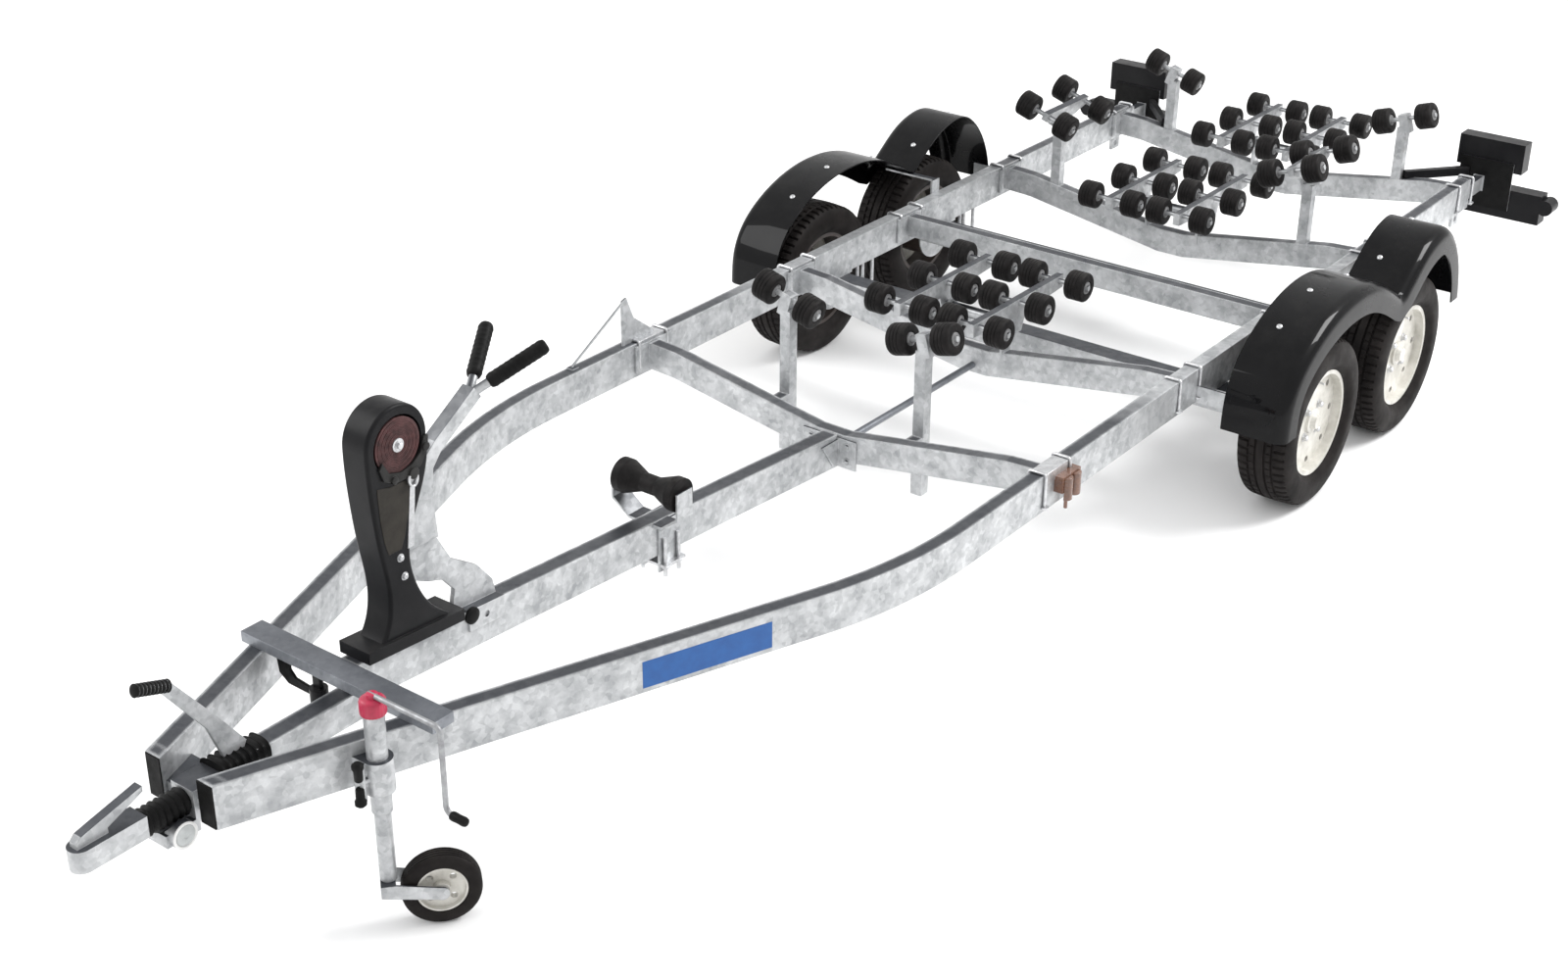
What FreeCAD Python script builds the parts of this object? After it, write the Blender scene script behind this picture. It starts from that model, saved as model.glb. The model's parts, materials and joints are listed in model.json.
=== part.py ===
import FreeCAD, Part
import math
import os

os.makedirs("parts", exist_ok=True)

# A tandem-axle galvanised boat trailer with tilting roller cradles.
# Stations run backwards along +Y from the tip of the coupling, X is the width, Z is up.

# Whole trailer
overall_length = 6450.0
overall_width = 2300.0
running_fit = 0.05
side_gap = 6.0

# Side rails: straight and parallel at the rear, curved, then converging to the coupling
rail_top = 533.0
rail_height = 120.0
rail_width = 50.0
rail_inset = 333.0
rail_bend_radius = 1540.0
rail_bend_end = 2417.0
rail_nose_x = 120.9
rail_front = 310.0
rail_wall = 5.0
rail_pocket = 35.0

# Places behind the bend, as shares of the way from the end of the bend to the lamps
cross_front_share = 0.1198
cross_middle_share = 0.3293
front_axle_share = 0.43
cross_axle_share = 0.5041
cross_aft_share = 0.6876
cross_rear_share = 0.9207
rail_rear_share = 0.9355

# Lashing eyes welded under the rail ends
eye_setback = 70.0
eye_thickness = 12.0
eye_height = 62.0
eye_half_length = 34.0
eye_hole_radius = 12.0
eye_hole_drop = 36.0

# Centre drawbar beam, sloping down to the first crossmember
beam_front = 840.0
beam_half_width = 30.0
beam_front_top = 561.5
beam_slope_share = 0.0725
beam_height = 112.0
beam_gusset_length = 110.0

# Nose tube between the overrun housing and the beam
nose_tube_half_width = 30.0
nose_tube_bottom = 404.0
nose_tube_top = 484.0

# Flat bar across the top of the rails at the front
crossbar_depth = 70.0
crossbar_thickness = 30.0
crossbar_overhang_left = 2.0
crossbar_overhang_right = 42.0

# Crossmembers: dropped in the middle to clear the hull
cross_thickness = 50.0
cross_depth = 92.0
cross_end_top = 518.0
cross_shoulder_inset = 117.0
cross_shoulder_top = 512.0
cross_flat_half = 55.0
cross_middle_top = 416.0
cross_axle_top = 521.0
cross_axle_depth = 80.0
cross_foot_length = 92.0
cross_foot_thickness = 8.0
cross_foot_height = 104.0

# Brake rod along the centre line
rod_radius = 12.0
rod_height = 352.0

# Small hull rollers
roller_radius = 52.5
roller_width = 70.0
roller_edge = 9.0
roller_pin_radius = 9.0
roller_pin_overrun = 6.0

# Posts that carry two rollers on a leaning pin
post_half = 20.0
post_drop = 38.0
front_post_x = 265.0
front_post_bottom = 230.0
front_post_setback = 55.0
front_axle_height = 768.0
front_lean_deg = 15.0
front_column_offset = 85.0
front_block_low = 372.0
front_block_high = 438.0
rear_post_inset = 240.0
rear_axle_height = 748.0
rear_lean_deg = 18.0
rear_column_offset = 92.0

# Central cradles: two side arms, three rows of rollers, one pivot tube
cradle_arm_x = 148.0
cradle_arm_half = 13.0
cradle_row_spacing = 260.0
cradle_middle_height = 618.0
cradle_aft_height = 588.0
cradle_rear_height = 592.0
cradle_column_offset = 92.0
cradle_arm_depth = 46.0
cradle_arm_tip = 30.0
cradle_pivot_drop = 82.0
cradle_pivot_radius = 19.0
cradle_lug_half_y = 42.0
cradle_cap_radius = 26.0
cradle_mast_x = 112.0
cradle_mast_thickness = 10.0
cradle_mast_top_radius = 32.0

# Outer cradles, leaning in with the hull
outer_inset = 222.0
outer_lean_deg = 18.0
outer_pivot_height = 768.0
outer_pivot_radius = 11.0
outer_row_half_spacing = 140.0
outer_column_offset = 90.0
outer_roller_rise = 52.0
outer_arm_half = 12.0
outer_arm_depth = 34.0
outer_fork_half = 30.0
outer_fork_plate = 8.0

# Keel roller on the centre beam
keel_station = 2000.0
keel_height = 584.0
keel_half_length = 112.0
keel_end_radius = 52.0
keel_waist_radius = 29.0
keel_end_land = 26.0
keel_pin_radius = 10.0
keel_plate_thickness = 6.0
keel_plate_half_y = 34.0
keel_foot_lead = 14.0
keel_foot_trail = 82.0
keel_foot_drop = 54.0
keel_shelf_x = 62.0
keel_knee_height = 521.0

# Winch tower, moulded in one piece
tower_front = 880.0
tower_length = 290.0
tower_rise = 656.0
tower_half_width = 45.0
tower_edge_radius = 9.0
tower_foot_half = 54.0
tower_foot_margin = 20.0
tower_foot_height = 34.0
tower_front_shares = [(0.0, 0.0), (0.20, 0.10), (0.25, 0.21), (0.20, 0.40), (0.14, 0.62), (0.12, 0.85)]
tower_crown_share = (0.44, 1.0)
tower_rear_shares = [(0.81, 0.83), (0.70, 0.60), (0.53, 0.40), (0.57, 0.24), (0.72, 0.11), (1.02, 0.0)]

# Strap reel in the head of the tower
reel_place_share = (0.47, 0.84)
reel_radius_share = 0.25
reel_width = 54.0
reel_gap = 6.0
reel_flange = 5.0
reel_pin_radius = 10.0

# Bow stand: gusset, arm and two padded horns, in the tower's own shares
stand_half = 7.0
stand_arm_half = 20.0
stand_foot_share = 1.63
stand_saddle_length = 130.0
stand_saddle_drop = 58.0
stand_saddle_thickness = 6.0
stand_bolt_radius = 9.0
stand_bolt_drop = 26.0
stand_gusset_shares = [
    (1.59, 0.026), (1.41, 0.125), (1.10, 0.216), (0.93, 0.353), (0.46, 0.353),
    (0.54, 0.23), (0.80, 0.17), (0.99, 0.14), (1.12, 0.07),
]
stand_arm_shares = [
    (0.93, 0.353), (0.90, 0.52), (0.93, 0.65), (1.03, 0.703), (1.55, 0.852), (1.47, 0.901), (0.97, 0.758),
    (0.82, 0.70), (0.62, 0.60), (0.46, 0.353),
]
horn_root_share = (1.50, 0.871)
horn_root_x = 6.5
horn_tip_x = 100.0
horn_reach = 162.0
horn_rise = 94.0
horn_radius = 12.0
pad_radius = 21.0
pad_start_share = 0.22
pad_end_share = 0.06
horn_cover_share = 0.03

# Overrun coupling
housing_front = 312.0
sole_front = 225.0
sole_bottom = 372.0
sole_top = 406.0
housing_rear = 430.0
housing_half_width = 40.0
housing_bottom = 396.0
housing_top = 484.0
housing_flange_half_height = 16.0
housing_flange_front = 322.0
bellows_front = 190.0
bellows_radius = 37.0
bellows_root_radius = 31.0
bellows_folds = 7
shaft_radius = 24.0
shaft_height = 446.0
head_half_width = 31.0
head_bottom = 424.0
head_top = 482.0
ball_radius = 25.0
ball_fit = 0.3
ball_station = 38.0
handle_thickness = 14.0
handle_root = 112.0
handle_rear = 200.0
handle_half_width = 13.0
drum_cap_radius = 35.0
drum_cap_thickness = 16.0
drum_cap_station = 266.0
drum_cap_height = 395.0

# Handbrake lever on the nose tube
lever_front = 286.0
lever_reach = 218.0
lever_rise = 292.0
lever_half_width = 6.0
lever_foot_front = 464.0
lever_foot_length = 68.0
lever_shares = [(0.93, 0.0), (1.0, 0.10), (0.66, 0.46), (0.12, 1.0), (0.0, 0.94), (0.52, 0.39), (0.71, 0.0)]
grip_start_share = (0.12, 0.945)
grip_end_share = (-0.28, 1.05)
grip_radius = 15.0

# Parked plug hung under the crossbar
plug_x = 84.0
plug_radius = 24.0
plug_length = 62.0
plug_drop = 62.0
plug_hanger_half = 13.0
plug_cable_radius = 8.0
plug_cable_length = 58.0

# Jockey wheel beside the near rail
jockey_station = 660.0
jockey_offset = 33.4
jockey_tube_radius = 26.0
jockey_leg_radius = 21.0
jockey_tube_bottom = 345.0
jockey_tube_top = 622.0
jockey_leg_bottom = 142.0
jockey_leg_top = 500.0
jockey_cap_radius = 33.0
jockey_cap_height = 42.0
jockey_yaw_deg = 40.3
jockey_trail = 126.0
jockey_wheel_radius = 100.0
jockey_wheel_width = 54.0
jockey_rim_radius = 64.0
jockey_axle_radius = 8.0
jockey_swivel_radius = 11.0
jockey_swivel_length = 60.0
jockey_crown_thickness = 12.0
jockey_crown_gap = 0.4
jockey_crown_rear = 16.0
jockey_plate_thickness = 5.0
jockey_plate_depth = 34.0
jockey_eye_radius = 18.0
jockey_hub_radius = 22.0
jockey_web_share = 0.33
jockey_seat_share = 0.8
jockey_hole_radius = 9.0
jockey_hole_circle = 41.0
jockey_hole_count = 4
jockey_tread_share = 0.62
jockey_shoulder_share = 0.3
jockey_crank_reach = 225.0
jockey_crank_drop = 235.0
jockey_crank_radius = 7.0
jockey_grip_length = 62.0
jockey_grip_radius = 12.0
clamp_height = 92.0
clamp_middle = 452.0
clamp_wall = 12.0
clamp_handle_gap = 14.0
clamp_handle_half = 52.0
clamp_handle_radius = 8.0

# Axles, trailing arms and wheels
axle_spacing = 714.0
wheel_radius = 295.0
wheel_inset = 110.0
tyre_width = 195.0
tyre_shares = [(0.95, 0.24), (1.0, 0.48), (0.97, 0.70), (0.86, 0.89), (0.70, 0.965), (0.34, 1.0)]
rim_seat_radius = 178.0
rim_flange_radius = 190.0
rim_half_width = 76.0
rim_flange_thickness = 4.0
rim_barrel_thickness = 7.0
rim_disc_offset = 38.0
rim_disc_thickness = 7.0
rim_hole_radius = 12.0
rim_hole_circle = 146.0
rim_hole_count = 8
hub_radius = 44.0
hub_cap_radius = 29.0
hub_cap_tip_radius = 23.0
hub_cap_length = 26.0
hub_step = 9.0
drum_radius = 104.0
drum_wall = 8.0
drum_reach = 110.0
spindle_radius = 18.0
spindle_overrun = 16.0
arm_inner_reach = 174.0
arm_outer_reach = 150.0
arm_trail = 150.0
arm_root_radius = 46.0
arm_tip_radius = 34.0
arm_web_share = 0.9
backplate_radius = 110.0
backplate_thickness = 6.0
backplate_reach = 122.0
axle_half = 40.0
axle_saddle_half_y = 62.0
axle_saddle_thickness = 10.0

# Mudguards
guard_width = 225.0
guard_thickness = 5.0
guard_lip_depth = 98.0
guard_top = 740.0
guard_front_reach = 368.0
guard_rear_reach = 417.0
guard_valley_lead = 165.0
guard_front_bottom = 356.0
guard_front_shares = [
    (0.0, 0.0), (0.015, 0.32), (0.075, 0.57), (0.175, 0.755), (0.315, 0.90), (0.52, 0.98), (0.73, 0.92),
    (0.89, 0.76), (1.0, 0.61),
]
guard_rear_shares = [
    (0.0, 0.61), (0.13, 0.75), (0.28, 0.895), (0.48, 0.99),
    (0.62, 0.985), (0.74, 0.89), (0.86, 0.70), (0.95, 0.44),
    (1.0, 0.125),
]
guard_bracket_thickness = 8.0
guard_lug_lap = 60.0
guard_lug_setback = 24.0
guard_bracket_height = 60.0
guard_strap_half_y = 25.0

# Rear lamps, held out behind the rails on telescopic arms
lens_depth = 14.0
lens_margin = 8.0
lamp_depth = 76.0
lamp_plate_thickness = 6.0
lamp_plate_inner_lap = 110.0
lamp_plate_outer_lap = 112.0
lamp_plate_bottom = 372.0
lamp_plate_top = 575.0
lamp_arm_clearance = 3.0
lamp_arm_bottom = 440.0
lamp_arm_top = 500.0
lamp_upper_lap = 130.0
lamp_upper_inset = 188.0
lamp_upper_bottom = 535.0
lamp_upper_top = 660.0
lamp_lower_lap = 112.0
lamp_lower_inset = 90.0
lamp_lower_bottom = 338.0
lamp_lower_top = 462.0
marker_arm_radius = 14.0
marker_radius = 32.0
marker_drop = 46.0
marker_inset = 40.0

# Amber side markers on the rail flanks
amber_setback = 42.0
amber_half_length = 52.0
amber_depth = 30.0
amber_low = 458.0
amber_high = 510.0
amber_stem_radius = 6.0
amber_stem_length = 72.0


def vector(x, y, z):
    return FreeCAD.Vector(x, y, z)


def box(x_low, x_high, y_low, y_high, z_low, z_high):
    return Part.makeBox(x_high - x_low, y_high - y_low, z_high - z_low, vector(x_low, y_low, z_low))


def side_box(side, x_inner, x_outer, y_low, y_high, z_low, z_high):
    x_low = min(side * x_inner, side * x_outer)
    x_high = max(side * x_inner, side * x_outer)
    return box(x_low, x_high, y_low, y_high, z_low, z_high)


def cylinder(radius, start, end):
    direction = end - start
    return Part.makeCylinder(radius, direction.Length, start, direction)


def rod_x(radius, x_low, x_high, y, z):
    return cylinder(radius, vector(x_low, y, z), vector(x_high, y, z))


def rod_y(radius, y_low, y_high, x, z):
    return cylinder(radius, vector(x, y_low, z), vector(x, y_high, z))


def rod_z(radius, z_low, z_high, x, y):
    return cylinder(radius, vector(x, y, z_low), vector(x, y, z_high))


def swept_face(corners, direction):
    face = Part.Face(Part.makePolygon(corners + [corners[0]]))
    return face.extrude(direction)


def side_prism(points, x_low, x_high):
    corners = [vector(x_low, y, z) for y, z in points]
    return swept_face(corners, vector(x_high - x_low, 0, 0))


def front_prism(points, y_low, y_high):
    corners = [vector(x, y_low, z) for x, z in points]
    return swept_face(corners, vector(0, y_high - y_low, 0))


def plan_prism(points, z_low, z_high):
    corners = [vector(x, y, z_low) for x, y in points]
    return swept_face(corners, vector(0, 0, z_high - z_low))


def line(start, end):
    return Part.LineSegment(start, end).toShape()


def arc(start, middle, end):
    return Part.Arc(start, middle, end).toShape()


def curve(points):
    spline = Part.BSplineCurve()
    spline.interpolate(points)
    return spline.toShape()


def turned_x(profile, y, z):
    corners = [vector(x, y, z + radius) for x, radius in profile]
    face = Part.Face(Part.makePolygon(corners + [corners[0]]))
    return face.revolve(vector(0, y, z), vector(1, 0, 0), 360)


def fuse(shapes):
    joined = shapes[0]
    for shape in shapes[1:]:
        joined = joined.fuse(shape)
    return joined.removeSplitter()


def mirrored(shape):
    return shape.mirror(vector(0, 0, 0), vector(1, 0, 0))


def both_sides(right_shape):
    return Part.makeCompound([right_shape, mirrored(right_shape)])


def leaned(shape, x, z, degrees):
    copy = shape.copy()
    copy.rotate(vector(x, 0, z), vector(0, 1, 0), degrees)
    return copy


def save(name, shape):
    moved = shape.copy()
    moved.translate(vector(0, -overall_length / 2, 0))
    moved.exportStep("parts/" + name + ".step")


def save_pair(name, right_shape):
    save(name + "_right", right_shape)
    save(name + "_left", mirrored(right_shape))


def station_at(share):
    return rail_bend_end + share * (overall_length - rail_bend_end)


cross_front_station = station_at(cross_front_share)
cross_middle_station = station_at(cross_middle_share)
cross_axle_station = station_at(cross_axle_share)
cross_aft_station = station_at(cross_aft_share)
cross_rear_station = station_at(cross_rear_share)
front_axle_station = station_at(front_axle_share)
rear_axle_station = front_axle_station + axle_spacing
rail_rear = station_at(rail_rear_share)
rail_bottom = rail_top - rail_height
rail_outer = overall_width / 2 - rail_inset
rail_inner = rail_outer - rail_width
bend_centre_x = rail_outer - rail_bend_radius
nose_run = rail_bend_end - rail_front
nose_reach = rail_nose_x - bend_centre_x
taper = math.atan2(nose_run, nose_reach) - math.acos(rail_bend_radius / math.hypot(nose_run, nose_reach))
cross_shoulder_x = rail_inner - cross_shoulder_inset
rear_post_x = rail_inner - rear_post_inset
outer_x = rail_inner - outer_inset
wheel_middle_x = overall_width / 2 - wheel_inset


def rail_edge(inset, station):
    radius = rail_bend_radius - inset
    if station >= rail_bend_end:
        return rail_outer - inset
    start_x = bend_centre_x + radius * math.cos(taper)
    start_y = rail_bend_end - radius * math.sin(taper)
    if station >= start_y:
        return bend_centre_x + math.sqrt(radius ** 2 - (rail_bend_end - station) ** 2)
    return start_x - math.tan(taper) * (start_y - station)


def bend_point(inset, angle, z):
    radius = rail_bend_radius - inset
    return vector(bend_centre_x + radius * math.cos(angle), rail_bend_end - radius * math.sin(angle), z)


def rail_bar(z_low, z_high):
    outer_front = vector(rail_edge(0, rail_front), rail_front, z_low)
    inner_front = vector(rail_edge(rail_width, rail_front), rail_front, z_low)
    outer_rear = vector(rail_outer, rail_rear, z_low)
    inner_rear = vector(rail_inner, rail_rear, z_low)
    outer_bend = [bend_point(0, angle, z_low) for angle in (taper, taper / 2, 0)]
    inner_bend = [bend_point(rail_width, angle, z_low) for angle in (0, taper / 2, taper)]
    edges = [
        line(outer_front, outer_bend[0]),
        arc(outer_bend[0], outer_bend[1], outer_bend[2]),
        line(outer_bend[2], outer_rear),
        line(outer_rear, inner_rear),
        line(inner_rear, inner_bend[0]),
        arc(inner_bend[0], inner_bend[1], inner_bend[2]),
        line(inner_bend[2], inner_front),
        line(inner_front, outer_front),
    ]
    return Part.Face(Part.Wire(edges)).extrude(vector(0, 0, z_high - z_low))


def build_rail():
    low = rail_bottom + rail_wall
    high = rail_top - rail_wall
    tail = box(rail_inner + rail_wall, rail_outer - rail_wall, rail_rear - rail_pocket, rail_rear, low, high)
    mouth_rear = rail_front + rail_pocket
    mouth = [
        (rail_edge(rail_wall, rail_front), rail_front),
        (rail_edge(rail_wall, mouth_rear), mouth_rear),
        (rail_edge(rail_width - rail_wall, mouth_rear), mouth_rear),
        (rail_edge(rail_width - rail_wall, rail_front), rail_front),
    ]
    rail = rail_bar(rail_bottom, rail_top).cut(tail).cut(plan_prism(mouth, low, high))
    return Part.makeCompound([rail, lashing_eye()])


def lashing_eye():
    x = rail_outer - rail_width / 2
    y = rail_rear - eye_setback
    half = eye_thickness / 2
    plate = box(
        x - half, x + half, y - eye_half_length, y + eye_half_length, rail_bottom - eye_height, rail_bottom,
    )
    hole = rod_x(eye_hole_radius, x - eye_thickness, x + eye_thickness, y, rail_bottom - eye_hole_drop)
    return plate.cut(hole)


save_pair("rail", build_rail())


def beam_top(station):
    return beam_front_top - beam_slope_share * (station - beam_front)


beam_rear = cross_front_station - cross_thickness / 2
gusset_rear = beam_front + beam_gusset_length
beam_points = [
    (beam_front, beam_top(beam_front)),
    (beam_rear, beam_top(beam_rear)),
    (beam_rear, beam_top(beam_rear) - beam_height),
    (gusset_rear, beam_top(gusset_rear) - beam_height),
    (beam_front, nose_tube_bottom),
]
nose_tube = box(
    -nose_tube_half_width, nose_tube_half_width, housing_rear, beam_front, nose_tube_bottom, nose_tube_top,
)
save("centre_beam", fuse([side_prism(beam_points, -beam_half_width, beam_half_width), nose_tube]))

crossbar_front = beam_front - crossbar_depth
crossbar_left = rail_edge(0, beam_front) + crossbar_overhang_left
crossbar_right = rail_edge(0, beam_front) + crossbar_overhang_right
crossbar = box(
    -crossbar_left, crossbar_right, crossbar_front, beam_front, rail_top, rail_top + crossbar_thickness,
)
save("front_crossbar", crossbar)


def cross_top(x):
    reach = abs(x)
    if reach <= cross_flat_half:
        return cross_middle_top
    if reach <= cross_shoulder_x:
        share = (reach - cross_flat_half) / (cross_shoulder_x - cross_flat_half)
        return cross_middle_top + share * (cross_shoulder_top - cross_middle_top)
    share = (reach - cross_shoulder_x) / (rail_inner - cross_shoulder_x)
    return cross_shoulder_top + share * (cross_end_top - cross_shoulder_top)


def member_feet(station):
    feet = []
    for side in (-1, 1):
        feet.append(side_box(
            side, rail_inner - cross_foot_thickness, rail_inner,
            station - cross_foot_length, station + cross_foot_length,
            rail_top - cross_foot_height, rail_top - cross_foot_thickness,
        ))
    return feet


def dropped_member(station):
    knees = [-rail_inner, -cross_shoulder_x, -cross_flat_half, cross_flat_half, cross_shoulder_x, rail_inner]
    upper = [(x, cross_top(x)) for x in knees]
    lower = [(x, cross_top(x) - cross_depth) for x in reversed(knees)]
    half = cross_thickness / 2
    return [front_prism(upper + lower, station - half, station + half)] + member_feet(station)


def straight_member(station):
    half = cross_thickness / 2
    bar = box(
        -rail_inner, rail_inner, station - half, station + half,
        cross_axle_top - cross_axle_depth, cross_axle_top,
    )
    return [bar] + member_feet(station)


def roller_post(side, x, station, bottom, axle_height, lean, column_offset):
    post = box(
        x - post_half, x + post_half, station - post_half,
        station + post_half, bottom, axle_height - post_drop,
    )
    lug = box(
        x - post_half, x + post_half, station - post_half, station + post_half,
        axle_height - post_drop - post_half, axle_height + post_half,
    )
    reach = column_offset + roller_width / 2 + roller_pin_overrun
    pin = rod_x(roller_pin_radius, x - reach, x + reach, station, axle_height)
    body = fuse([post, leaned(fuse([lug, pin]), x, axle_height, -lean)])
    if side < 0:
        return mirrored(body)
    return body


front_post_station = cross_front_station + cross_thickness / 2 + front_post_setback + post_half


def front_posts():
    parts = []
    for side in (-1, 1):
        parts.append(roller_post(
            side, front_post_x, front_post_station, front_post_bottom, front_axle_height,
            front_lean_deg, front_column_offset,
        ))
        parts.append(side_box(
            side, front_post_x - post_half, front_post_x + post_half,
            cross_front_station, front_post_station - post_half, front_block_low, front_block_high,
        ))
    return parts


def rear_posts():
    parts = []
    for side in (-1, 1):
        low = cross_top(rear_post_x) - cross_depth / 2
        parts.append(roller_post(
            side, rear_post_x, cross_rear_station, low, rear_axle_height, rear_lean_deg, rear_column_offset,
        ))
    return parts


def cradle_masts(station, row_height):
    pivot = row_height - cradle_pivot_drop
    half = cradle_mast_thickness / 2
    low = cross_top(cradle_mast_x - cradle_mast_thickness) - cross_depth / 2
    blade_points = [
        (station - cross_thickness / 2, low),
        (station + cross_thickness / 2, low),
        (station + cradle_mast_top_radius, pivot),
        (station - cradle_mast_top_radius, pivot),
    ]
    parts = []
    for side in (-1, 1):
        x = side * cradle_mast_x
        parts.append(side_prism(blade_points, x - half, x + half))
        parts.append(rod_x(cradle_mast_top_radius, x - half, x + half, station, pivot))
    return parts


def cradle_bores(shape, station, row_height):
    reach = cradle_mast_x + cradle_mast_thickness
    pivot = row_height - cradle_pivot_drop
    return shape.cut(rod_x(cradle_pivot_radius + running_fit, -reach, reach, station, pivot))


def outer_posts():
    low = cross_top(outer_x) - cross_depth / 2
    top = outer_pivot_height - post_drop
    parts = []
    for side in (-1, 1):
        parts.append(side_box(
            side, outer_x - post_half, outer_x + post_half,
            cross_aft_station - post_half, cross_aft_station + post_half, low, top,
        ))
    return parts


def outer_fork():
    x = outer_x
    z = outer_pivot_height
    front = cross_aft_station - post_half
    rear = cross_aft_station + post_half
    reach = outer_fork_half + outer_fork_plate
    base = box(x - reach, x + reach, front, rear, z - reach, z - outer_fork_half)
    inner_cheek = box(x - reach, x - outer_fork_half, front, rear, z - outer_fork_half, z + post_half)
    outer_cheek = box(x + outer_fork_half, x + reach, front, rear, z - outer_fork_half, z + post_half)
    pin_hole = rod_x(outer_pivot_radius + running_fit, x - reach * 2, x + reach * 2, cross_aft_station, z)
    return leaned(fuse([base, inner_cheek, outer_cheek]).cut(pin_hole), x, z, -outer_lean_deg)


save("crossmember_front", fuse(dropped_member(cross_front_station) + front_posts()))

middle_member = fuse(
    dropped_member(cross_middle_station) + cradle_masts(cross_middle_station, cradle_middle_height),
)
save("crossmember_middle", cradle_bores(middle_member, cross_middle_station, cradle_middle_height))

save("crossmember_axle", fuse(straight_member(cross_axle_station)))

aft_parts = dropped_member(cross_aft_station) + outer_posts()
aft_parts += cradle_masts(cross_aft_station, cradle_aft_height)
aft_member = fuse(aft_parts + [outer_fork(), mirrored(outer_fork())])
save("crossmember_aft", cradle_bores(aft_member, cross_aft_station, cradle_aft_height))

rear_parts = dropped_member(cross_rear_station) + rear_posts()
rear_parts += cradle_masts(cross_rear_station, cradle_rear_height)
save("crossmember_rear", cradle_bores(fuse(rear_parts), cross_rear_station, cradle_rear_height))

rod_front = cross_front_station + cross_thickness / 2
rod_rear = cross_middle_station - cross_thickness / 2
save("brake_rod_front", rod_y(rod_radius, rod_front, rod_rear, 0, rod_height))


def roller(x, y, z):
    half = roller_width / 2
    bore = roller_pin_radius + running_fit
    profile = [
        (x - half, bore),
        (x - half, roller_radius - roller_edge),
        (x - half + roller_edge, roller_radius),
        (x + half - roller_edge, roller_radius),
        (x + half, roller_radius - roller_edge),
        (x + half, bore),
    ]
    return turned_x(profile, y, z)


def post_rollers(x, station, axle_height, lean, column_offset):
    pair = [roller(x + column * column_offset, station, axle_height) for column in (-1, 1)]
    return leaned(Part.makeCompound(pair), x, axle_height, -lean)


save_pair("front_rollers", post_rollers(
    front_post_x, front_post_station, front_axle_height, front_lean_deg, front_column_offset,
))
save_pair("rear_rollers", post_rollers(
    rear_post_x, cross_rear_station, rear_axle_height, rear_lean_deg, rear_column_offset,
))


def cradle_frame(station, row_height):
    reach = cradle_row_spacing + cradle_arm_tip
    low = row_height - cradle_arm_depth
    high = row_height + cradle_arm_tip / 2
    pivot = row_height - cradle_pivot_drop
    arm_points = [
        (station - reach, high),
        (station + reach, high),
        (station + reach, low + cradle_arm_tip / 2),
        (station + cradle_lug_half_y, low),
        (station + cradle_lug_half_y / 2, pivot - cradle_cap_radius),
        (station - cradle_lug_half_y / 2, pivot - cradle_cap_radius),
        (station - cradle_lug_half_y, low),
        (station - reach, low + cradle_arm_tip / 2),
    ]
    pin_reach = cradle_column_offset + roller_width / 2 + roller_pin_overrun
    parts = []
    for side in (-1, 1):
        x = side * cradle_arm_x
        parts.append(side_prism(arm_points, x - cradle_arm_half, x + cradle_arm_half))
        for row in (-1, 0, 1):
            y = station + row * cradle_row_spacing
            parts.append(rod_x(roller_pin_radius, x - pin_reach, x + pin_reach, y, row_height))
    parts.append(rod_x(cradle_pivot_radius, -cradle_arm_x, cradle_arm_x, station, pivot))
    return fuse(parts)


def cradle_rollers(station, row_height):
    rollers = []
    for side in (-1, 1):
        for column in (-1, 1):
            x = side * cradle_arm_x + column * cradle_column_offset
            for row in (-1, 0, 1):
                rollers.append(roller(x, station + row * cradle_row_spacing, row_height))
    return Part.makeCompound(rollers)


cradle_places = (
    ("middle", cross_middle_station, cradle_middle_height),
    ("aft", cross_aft_station, cradle_aft_height),
    ("rear", cross_rear_station, cradle_rear_height),
)
for label, station, row_height in cradle_places:
    save("cradle_" + label, cradle_frame(station, row_height))
    save("cradle_rollers_" + label, cradle_rollers(station, row_height))


def outer_cradle():
    x = outer_x
    z = outer_pivot_height
    axle_z = z + outer_roller_rise
    half_depth = outer_arm_depth / 2
    reach = outer_row_half_spacing + half_depth
    arm = side_prism(
        [
            (cross_aft_station - reach, axle_z + half_depth),
            (cross_aft_station + reach, axle_z + half_depth),
            (cross_aft_station + reach, axle_z - half_depth),
            (cross_aft_station + half_depth, z - half_depth),
            (cross_aft_station - half_depth, z - half_depth),
            (cross_aft_station - reach, axle_z - half_depth),
        ],
        x - outer_arm_half, x + outer_arm_half,
    )
    pivot_reach = outer_fork_half + outer_fork_plate
    pin_reach = outer_column_offset + roller_width / 2 + roller_pin_overrun
    parts = [arm, rod_x(outer_pivot_radius, x - pivot_reach, x + pivot_reach, cross_aft_station, z)]
    for row in (-1, 1):
        y = cross_aft_station + row * outer_row_half_spacing
        parts.append(rod_x(roller_pin_radius, x - pin_reach, x + pin_reach, y, axle_z))
    return leaned(fuse(parts), x, z, -outer_lean_deg)


def outer_rollers():
    rollers = []
    for column in (-1, 1):
        for row in (-1, 1):
            x = outer_x + column * outer_column_offset
            y = cross_aft_station + row * outer_row_half_spacing
            rollers.append(roller(x, y, outer_pivot_height + outer_roller_rise))
    return leaned(Part.makeCompound(rollers), outer_x, outer_pivot_height, -outer_lean_deg)


save_pair("outer_cradle", outer_cradle())
save_pair("outer_rollers", outer_rollers())


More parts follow.
